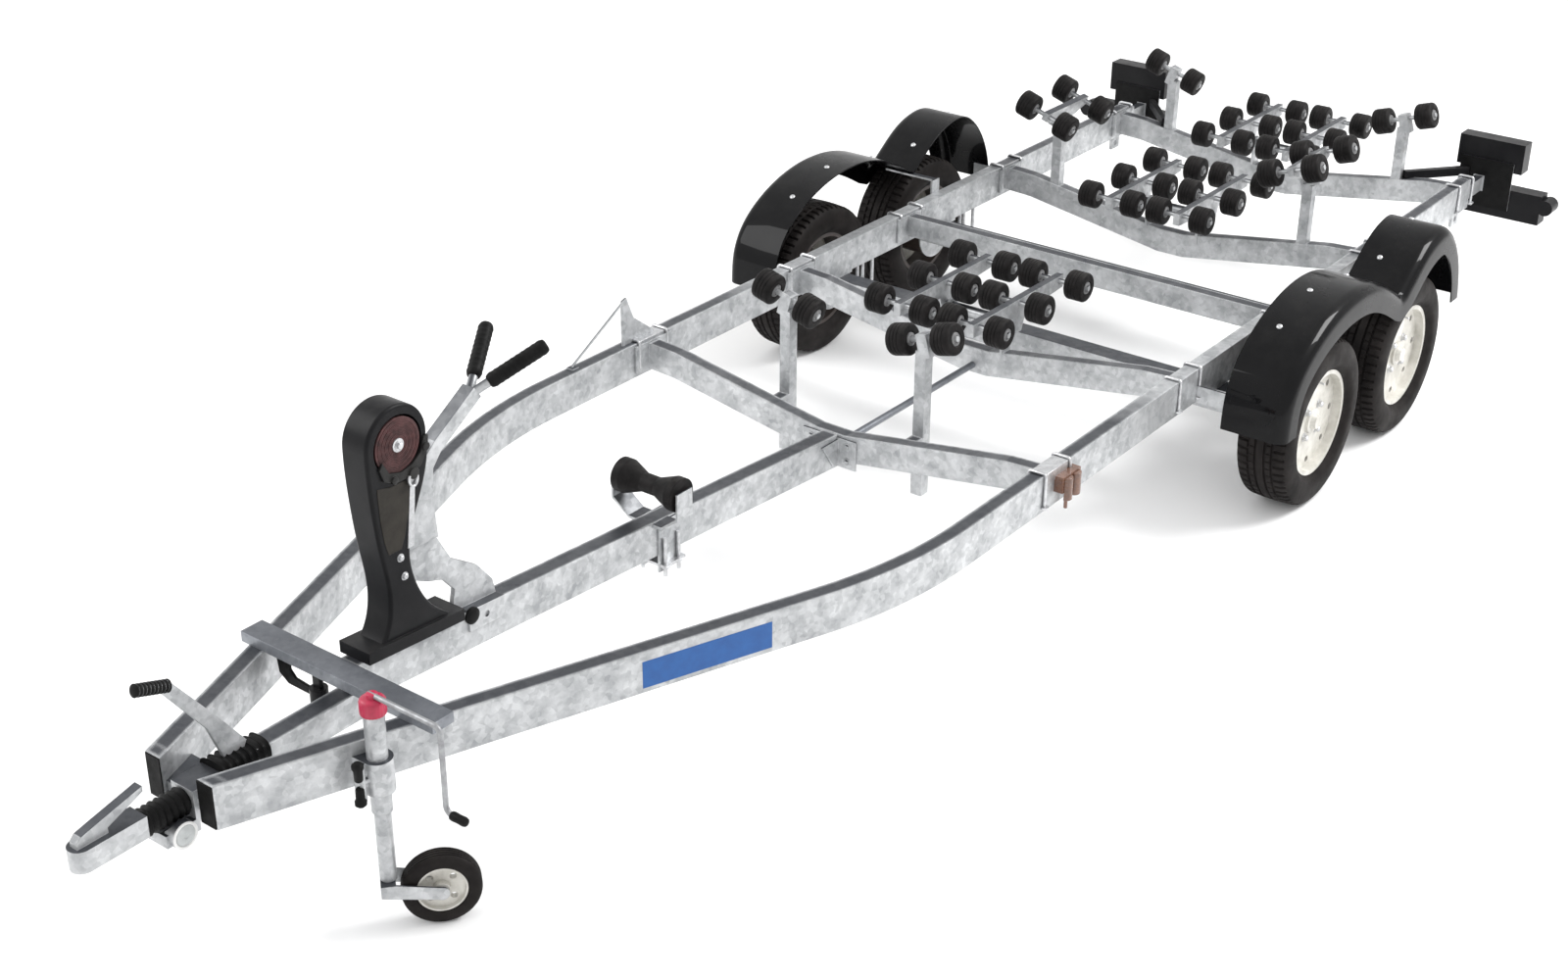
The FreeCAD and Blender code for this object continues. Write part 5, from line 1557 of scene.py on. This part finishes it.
@dataclass
class TowerTrim(Fitting):
    """What the moulded tower carries: a set-in panel, the winch's plate and pawl, strap and bolts."""

    front: float = 0.880
    length: float = 0.290
    base: float = 0.5586
    rise: float = 0.656
    half: float = 0.045
    reel_share: Flat = (0.47, 0.84)
    coil_radii: Flat = (0.021, 0.0645)
    coil_half: float = 0.0017
    coils_shown: int = 12
    boss: tuple[Flat, ...] = ((-0.001, 0.018), (0.003, 0.018), (0.004, 0.014), (0.004, 0.001))
    panel: tuple[Flat, ...] = (
        (0.20, 0.70), (0.36, 0.685), (0.52, 0.685), (0.565, 0.66), (0.535, 0.56), (0.47, 0.46),
        (0.42, 0.41), (0.27, 0.41), (0.235, 0.47), (0.21, 0.56),
    )
    plate: tuple[Flat, ...] = (
        (0.23, 0.775), (0.27, 0.722), (0.40, 0.694), (0.56, 0.694), (0.70, 0.722), (0.785, 0.775),
        (0.80, 0.83), (0.745, 0.83), (0.70, 0.775), (0.60, 0.742), (0.47, 0.728), (0.34, 0.745),
        (0.27, 0.80),
    )
    gears: tuple[tuple[Flat, float, int], ...] = (
        ((0.60, 0.705), 0.016, 12), ((0.38, 0.712), 0.011, 9), ((0.755, 0.79), 0.012, 9),
    )
    strap_ends: tuple[Flat, Flat] = ((0.525, 0.40), (0.600, 0.690))
    bolt_shares: tuple[Flat, Flat] = ((0.40, 0.375), (0.43, 0.29))
    gusset_cap: tuple[Flat, ...] = ((-0.001, 0.024), (0.007, 0.024), (0.011, 0.019), (0.013, 0.010))
    gusset_place: Point = (0.030, 1.236, 0.520)

    def place(self, share: Flat) -> Flat:
        """Returns (y, z) of a share of the tower's length and rise."""
        return along(self.front + share[0] * self.length), self.base + share[1] * self.rise

    def coils(self) -> Surface:
        """Edges of the wound strap: rings that stand 0.8 to 2 mm out of the reel's face.

        Returns:
            All rings.
        """
        rings = []
        for index, radius in enumerate(np.linspace(*self.coil_radii, self.coils_shown)):
            stand, half = 0.0008 + 0.0006 * (index % 3), self.coil_half
            profile = [(-0.001, radius + half), (stand, radius + half * 0.7), (stand, radius - half * 0.7),
                       (-0.001, radius - half), (-0.001, radius + half)]
            rings.append(turned(profile, (self.half, *self.place(self.reel_share)), OUTBOARD, 56))
        return Surface.joined(rings)

    def hub(self) -> Surface:
        """A steel boss and nut in the middle of the reel.

        Returns:
            The boss and its nut.
        """
        y, z = self.place(self.reel_share)
        nut = bolts((self.half + 0.004, y, z), OUTBOARD, 0.009)
        return Surface.joined([turned(self.boss, (self.half, y, z), OUTBOARD, 28), nut])

    def winch_plate(self) -> Surface:
        """The winch's side plate with its gear and pawl wheels.

        Returns:
            The plate and its wheels.
        """
        x = self.half
        parts = [extruded([self.place(share) for share in self.plate], x - 0.001, x + 0.007)]
        for share, radius, teeth in self.gears:
            wheel = [(-0.001, radius), (0.012, radius), (0.013, radius * 0.8)]
            parts.append(turned(wheel, (x, *self.place(share)), OUTBOARD, teeth))
        return Surface.joined(parts)

    def strap(self) -> Surface:
        """A flat steel strap down the side, with an open eye at its top.

        Returns:
            The strap and its eye.
        """
        (y0, z0), (y1, z1) = map(self.place, self.strap_ends)
        x = self.half
        outline = [(y0 - 0.012, z0), (y0 + 0.009, z0), (y1 + 0.008, z1), (y1 - 0.008, z1)]
        bar = extruded(outline, x - 0.001, x + 0.004)
        turn = np.linspace(0, 1.7 * math.pi, 22)
        eye = spots(x + 0.009, y1 - 0.004 + 0.014 * np.sin(turn), z1 - 0.004 + 0.020 * np.cos(turn))
        return Surface.joined([bar, tube(eye, 0.0042, 10)])

    def pieces(self) -> Iterator[Piece]:
        """Makes the tower's small pieces.

        Returns:
            The pieces in order.
        """
        outline = [self.place(share) for share in self.panel]
        panel = extruded(outline, self.half - 0.0015, self.half + 0.0015).paired()
        yield Piece("tower_panel", panel, "black_plastic", "panel_grey", bevel=0.001)
        yield Piece("winch_plate", self.winch_plate(), "cast_black", bevel=0.0012)
        yield Piece("strap_coils", self.coils(), "strap_red", body="winch_reel", smooth_deg=30.0)
        yield Piece("reel_boss", self.hub(), "galvanised", "bolts", "winch_reel")
        yield Piece("tower_strap", self.strap(), "galvanised", "bolts", bevel=0.0008)
        heads = bolts([(self.half, *self.place(share)) for share in self.bolt_shares], OUTBOARD, 0.008)
        yield Piece("tower_bolts", heads, "galvanised", "bolts")
        x, station, z = self.gusset_place
        cap = turned(self.gusset_cap, (x, along(station), z), OUTBOARD, 28)
        yield Piece("gusset_cap", cap, "black_plastic", "dull_black")


# Rear lamps, pads and small fittings


@dataclass
class LampTrim(Fitting):
    """Black backings on the lamp plates, and moulded lenses with fields and prisms."""

    front: float = 6.354
    back: float = 6.436
    end: float = 6.450
    plate: tuple[float, ...] = (0.707, 0.929, 0.372, 0.575)
    arm: tuple[float, ...] = (0.768, 0.816, 0.436, 0.504)
    upper: tuple[float, ...] = (0.695, 0.954, 0.543, 0.652)
    lower: tuple[float, ...] = (0.713, 1.052, 0.346, 0.454)
    backing_skin: Flat = (-0.003, 0.0005)
    rounding: float = 0.010
    groove_share: float = 0.025
    groove_depth: float = 0.002
    prism_depth: float = 0.0006
    prisms: int = 14

    def backing(self) -> Surface:
        """Four thin boards round the arm, in front of the plate.

        Returns:
            The right-hand boards.
        """
        x0, x1, z0, z1 = self.plate
        a0, a1, b0, b1 = self.arm
        near, far = (along(self.front) + skin for skin in self.backing_skin)
        boards = [(x0, a0, z0, z1), (a1, x1, z0, z1), (a0, a1, z0, b0), (a0, a1, b1, z1)]
        return Surface.joined(box((left, near, low), (right, far, high)) for left, right, low, high in boards)

    def lens(self, area: Sequence[float], fields: int) -> Surface:
        """A lens whose depth is a rounded edge less a groove between fields and a fine prism pattern.

        Args:
            area: lowest and highest x and z.
            fields: how many fields stand side by side.

        Returns:
            The right-hand lens.
        """
        x0, x1, z0, z1 = area
        across, up = np.linspace(0, 1, 140)[:, None], np.linspace(0, 1, 44)[None, :]
        edges = [
            np.clip(np.minimum(share, 1 - share) * size / self.rounding, 0, 1)
            for share, size in ((across, x1 - x0), (up, z1 - z0))
        ]
        rounded = np.sqrt(1 - (1 - edges[0]) ** 2) * np.sqrt(1 - (1 - edges[1]) ** 2)
        place = (across * fields) % 1.0
        groove = np.clip(1 - np.abs(place - np.round(place)) / self.groove_share, 0, 1)
        prism = self.prism_depth * np.abs(np.sin(across * math.pi * fields * self.prisms))
        carved = self.groove_depth * groove + prism
        depth = (self.end - self.back) * (0.15 + 0.85 * rounded) - carved * rounded
        outer = spots(x0 + across * (x1 - x0), along(self.back) + depth, z0 + up * (z1 - z0))
        inner = outer.copy()
        inner[..., 1] = along(self.back) + 0.0002
        return outward(grid_surface(np.concatenate([outer, inner[:, ::-1]], axis=1), False, True, caps=True))

    def pieces(self) -> Iterator[Piece]:
        """Makes the backings and lenses of both sides.

        Returns:
            The pieces in order.
        """
        yield Piece("lamp_backings", self.backing().paired(), "galvanised", "dull_black")
        lenses = Surface.joined([self.lens(self.upper, 3), self.lens(self.lower, 4)]).paired()
        yield Piece("moulded_lamp_lenses", lenses, "lens_red", replaces=("lamp_lenses",), smooth_deg=25.0)


@dataclass
class BowPads(Fitting):
    """Rubber sleeves on the horns: barrel ends and fine ribs."""

    root: Point = (0.0065, -1.910, 1.129976)
    tip: Point = (0.100, -1.748, 1.223976)
    radius: float = 0.021
    run_shares: Flat = (0.22, 1.06)
    ribs: int = 11
    rib_depth: float = 0.05
    end_length: float = 0.014

    def pieces(self) -> Iterator[Piece]:
        """Makes both pads: radius is r * (1 - 0.05 |sin|), falling off as a quarter round at the ends.

        Returns:
            The pieces in order.
        """
        way = np.array(self.tip) - np.array(self.root)
        first, last = np.array(self.run_shares) * np.linalg.norm(way)
        share = np.linspace(0, 1, 89)
        at = first + share * (last - first)
        end = np.clip(np.minimum(at - first, last - at) / self.end_length, 0, 1)
        radius = self.radius * (1 - self.rib_depth * np.abs(np.sin(share * math.pi * self.ribs)))
        radius = radius * (0.55 + 0.45 * np.sqrt(1 - (1 - end) ** 2))
        pads = turned(np.stack([at, radius], axis=1), self.root, way, 28).paired()
        yield Piece(
            "ribbed_bow_pads", pads, "black_rubber", "dull_black", replaces=("bow_pads",), smooth_deg=50.0
        )


@dataclass
class SmallFittings(Fitting):
    """The beam's joint plate, keel bracket's rods, far rail's stay, saddles, marker lobes and ducts."""

    member_front: float = 2.8751531
    beam_low: float = 0.302
    beam_high: float = 0.414
    gusset_x: float = 0.0335
    joint_half: float = 0.105
    joint_bolt_x: float = 0.072
    keel_station: float = 2.034
    keel_x: float = 0.043
    keel_low: float = 0.296
    keel_high: float = 0.420
    keel_nut: float = 0.330
    stay_x: float = -0.792
    rail_x: Flat = (0.767, 0.817)
    rail_top: float = 0.533
    lug: tuple[Flat, ...] = (
        (2.775, -0.001), (2.775, 0.160), (2.800, 0.168), (2.835, 0.085), (2.930, 0.012), (2.940, -0.001),
    )
    stay: tuple[Point, ...] = ((0.0, 2.785, 0.155), (-0.002, 2.66, 0.083), (-0.012, 2.540, 0.004))
    saddle_half: float = 0.062
    saddle_drop: float = 0.034
    saddle_thickness: float = 0.003
    saddle_seat: float = 0.0004
    marker_face: float = 0.8465
    marker_centre: Flat = (-0.283, 0.467)
    lobe_shift: float = 0.024
    lobe_radii: Flat = (0.017, 0.019)
    lobe_heights: Flat = (-0.036, 0.038)
    carrier: tuple[Flat, ...] = (
        (-0.238, 0.5335), (-0.192, 0.5335), (-0.186, 0.484), (-0.168, 0.466), (-0.088, 0.458),
        (-0.088, 0.438), (-0.196, 0.440), (-0.228, 0.462),
    )
    carrier_station: float = 0.805
    carrier_half: float = 0.004
    duct_start: Flat = (0.556, 2.905)
    duct_end: Flat = (0.742, 3.1295)
    duct_half: float = 0.013
    duct_heights: Flat = (0.494, 0.531)

    def joint(self) -> Surface:
        """A flanged plate between beam and crossmember, with four bolts through its wings and two gussets.

        Returns:
            The plate, its bolts and its gussets.
        """
        y, low, high, half = along(self.member_front), self.beam_low, self.beam_high, self.joint_half
        plate = box((-half, y - 0.006, low + 0.004), (half, y + 0.0005, high - 0.006))
        heights = (low + 0.028, high - 0.030)
        places = [(sign * self.joint_bolt_x, y - 0.006, z) for sign in (-1, 1) for z in heights]
        outline = [(y - 0.090, high - 0.012), (y, high - 0.012), (y, low + 0.012), (y - 0.030, low + 0.012)]
        gussets = extruded(outline, self.gusset_x - 0.003, self.gusset_x + 0.003).paired()
        return Surface.joined([plate, bolts(places, FORWARD, 0.010), gussets])

    def keel_rods(self) -> Surface:
        """Threaded rods down both faces of the beam, with a nut and a plate below it.

        Returns:
            The rods, nuts and plate.
        """
        middle, nut = along(self.keel_station), self.keel_nut
        skins = []
        for sign in (-1, 1):
            for shift in (-0.030, 0.030):
                x, y = sign * self.keel_x, middle + shift
                skins.append(tube(np.array([(x, y, self.keel_high), (x, y, self.keel_low)]), 0.006, 12))
                skins.append(bolts((x, y, nut), DOWN, 0.011))
        skins.append(box((-0.056, middle - 0.046, nut), (0.056, middle + 0.046, nut + 0.008)))
        return Surface.joined(skins)

    def far_stay(self) -> Surface:
        """An upright lug on the far rail with a thin stay down to the rail in front of it.

        Returns:
            The lug, the stay and its foot.
        """
        x, base = self.stay_x, self.rail_top
        lug = extruded([(along(station), base + up) for station, up in self.lug], x - 0.003, x + 0.003)
        path = np.array([(x + out, along(station), base + up) for out, station, up in self.stay])
        foot = box((x - 0.022, along(2.525), base - 0.001), (x + 0.006, along(2.555), base + 0.005))
        return Surface.joined([lug, tube(path, 0.004, 10), foot])

    def saddle(self) -> Surface:
        """A bent plate over the rail's top and outer edge, under the clamps of the front crossmember.

        Returns:
            The right-hand plate.
        """
        inner, outer = self.rail_x
        thick, seat, low = self.saddle_thickness, self.saddle_seat, self.rail_top - self.saddle_drop
        outline = [
            (inner - 0.001, self.rail_top - seat), (inner - 0.001, self.rail_top + thick),
            (outer + thick, self.rail_top + thick), (outer + thick, low), (outer - seat, low),
            (outer - seat, self.rail_top - seat),
        ]
        y = along(self.member_front + 0.025)
        return extruded(outline, y - self.saddle_half, y + self.saddle_half, axis=1)

    def lobes(self) -> Surface:
        """Two upright half-round lenses on a marker's face: x = face + a sin t and y = centre + b cos t.

        Returns:
            The right-hand lenses.
        """
        (y, z), (low, high), (out, wide) = self.marker_centre, self.lobe_heights, self.lobe_radii
        turn = np.linspace(0, math.pi, 15)
        skins = []
        for shift in (-self.lobe_shift, self.lobe_shift):
            across = y + shift + wide * np.cos(turn)
            outline = np.stack([self.marker_face + out * np.sin(turn), across], axis=1)
            skins.append(extruded(outline, z + low, z + high, axis=2))
        return Surface.joined(skins)

    def duct(self) -> Surface:
        """A black duct for the lamps' leads, from the foot of the rear post to the lamp plate.

        Returns:
            The right-hand duct.
        """
        start, end = np.array(self.duct_start), np.array(self.duct_end)
        run = (end - start) / np.linalg.norm(end - start)
        across = self.duct_half * np.array([-run[1], run[0]])
        corners = [start + across, start - across, end - across, end + across]
        return extruded(corners, *self.duct_heights, axis=2)

    def pieces(self) -> Iterator[Piece]:
        """Makes the small fittings.

        Returns:
            The pieces in order.
        """
        yield Piece("beam_joint", self.joint(), bevel=0.001)
        yield Piece("keel_bracket_rods", self.keel_rods(), "galvanised", "bolts")
        yield Piece("far_rail_stay", self.far_stay(), bevel=0.0008)
        yield Piece("rail_saddles", self.saddle().paired(), "galvanised", "bolts", bevel=0.001)
        yield Piece("marker_lobes", self.lobes().paired(), "amber", smooth_deg=50.0, bevel=0.002)
        y, half = along(self.carrier_station), self.carrier_half
        carrier = extruded(self.carrier, y - half, y + half, axis=1)
        yield Piece("plug_carrier", carrier, "black_plastic", "dull_black", bevel=0.001)
        yield Piece("lamp_ducts", self.duct().paired(), "black_plastic", bevel=0.003)


# Studio


@dataclass
class Studio:
    """Floor, backdrop, lights and the photograph's camera."""

    camera_place: Point = (3.608, -5.364, 3.437)
    target: Point = (-0.066, -0.437, 0.4)
    roll_deg: float = 0.61
    lens: float = 49.28
    shift: Flat = (-0.00854, -0.0319)
    floor_shade: Colour = (0.93, 0.93, 0.93)
    floor_half_width: float = 22.0
    floor_front: float = -14.0
    floor_rear: float = 12.0
    bend_radius: float = 4.0
    wall_height: float = 10.0

    def floor(self) -> None:
        """A floor that curves up into a backdrop far behind: height = r * (1 - cos t), then straight up."""
        bend = np.linspace(0, QUARTER, 16)
        radius, rear = self.bend_radius, self.floor_rear
        depth = np.concatenate([[self.floor_front], rear + radius * np.sin(bend), [rear + radius]])
        height = np.concatenate([[0.0], radius * (1 - np.cos(bend)), [self.wall_height]])
        across = np.linspace(-self.floor_half_width, self.floor_half_width, 9)
        points = spots(across, depth[:, None], height[:, None])
        mesh = mesh_of("studio_floor", grid_surface(points, False, False))
        paint = bpy.data.materials.new("pale_floor")
        paint.use_nodes = True
        shader = paint.node_tree.nodes["Principled BSDF"]
        shader.inputs["Base Color"].default_value = (*self.floor_shade, 1.0)
        shader.inputs["Roughness"].default_value = 0.8
        mesh.materials.append(paint)
        add_object("studio_floor", mesh)

    def light(self, name: str, place: Point, aim: Point, power: float, size: float) -> None:
        """Adds one square soft box.

        Args:
            name: the light's name.
            place: where it hangs.
            aim: the point that it looks at.
            power: watts.
            size: side in metres.
        """
        data = bpy.data.lights.new(name, "AREA")
        data.energy = power
        data.size = size
        made = add_object(name, data)
        made.location = place
        made.rotation_euler = (Vector(aim) - Vector(place)).to_track_quat("-Z", "Y").to_euler()

    def camera(self) -> None:
        """Sets the camera at the photograph's angle."""
        data = bpy.data.cameras.new("photo_camera")
        data.lens = self.lens
        data.sensor_width = 36.0
        data.shift_x, data.shift_y = self.shift
        data.clip_start, data.clip_end = 0.1, 100.0
        made = add_object("photo_camera", data)
        look = (Vector(self.target) - Vector(self.camera_place)).to_track_quat("-Z", "Y")
        made.rotation_mode = "QUATERNION"
        made.rotation_quaternion = look @ Matrix.Rotation(math.radians(self.roll_deg), 3, "Z").to_quaternion()
        made.location = self.camera_place
        bpy.context.scene.camera = made

    def build(self) -> None:
        """Makes the whole studio."""
        self.camera()
        self.floor()
        self.light("key_box", (5.0, 4.5, 7.0), (0.0, 0.0, 0.3), 700.0, 3.5)
        self.light("fill_box", (-5.5, -5.0, 5.5), (0.0, -0.5, 0.4), 300.0, 5.0)
        world = bpy.data.worlds.new("studio_world")
        world.use_nodes = True
        sky = world.node_tree.nodes["Background"]
        sky.inputs["Color"].default_value = (1.0, 1.0, 1.0, 1.0)
        sky.inputs["Strength"].default_value = 1.0
        bpy.context.scene.world = world
        bpy.context.scene.view_settings.view_transform = "Standard"


FITTINGS: tuple[type[Fitting], ...] = (
    HullRollers, RoadWheels, RailTrim, AxleClamps, GuardSkins, NoseTrim, JockeyTrim, TowerTrim, LampTrim,
    BowPads, SmallFittings,
)


def main() -> None:
    """Builds the studio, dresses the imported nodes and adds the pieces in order."""
    logging.basicConfig(level=logging.INFO, format="%(name)s: %(message)s")
    Studio().build()
    dresser = Dresser()
    dresser.dress_nodes()
    for fitting in FITTINGS:
        for piece in fitting().pieces():
            dresser.make(piece)


if __name__ == "__main__":
    main()
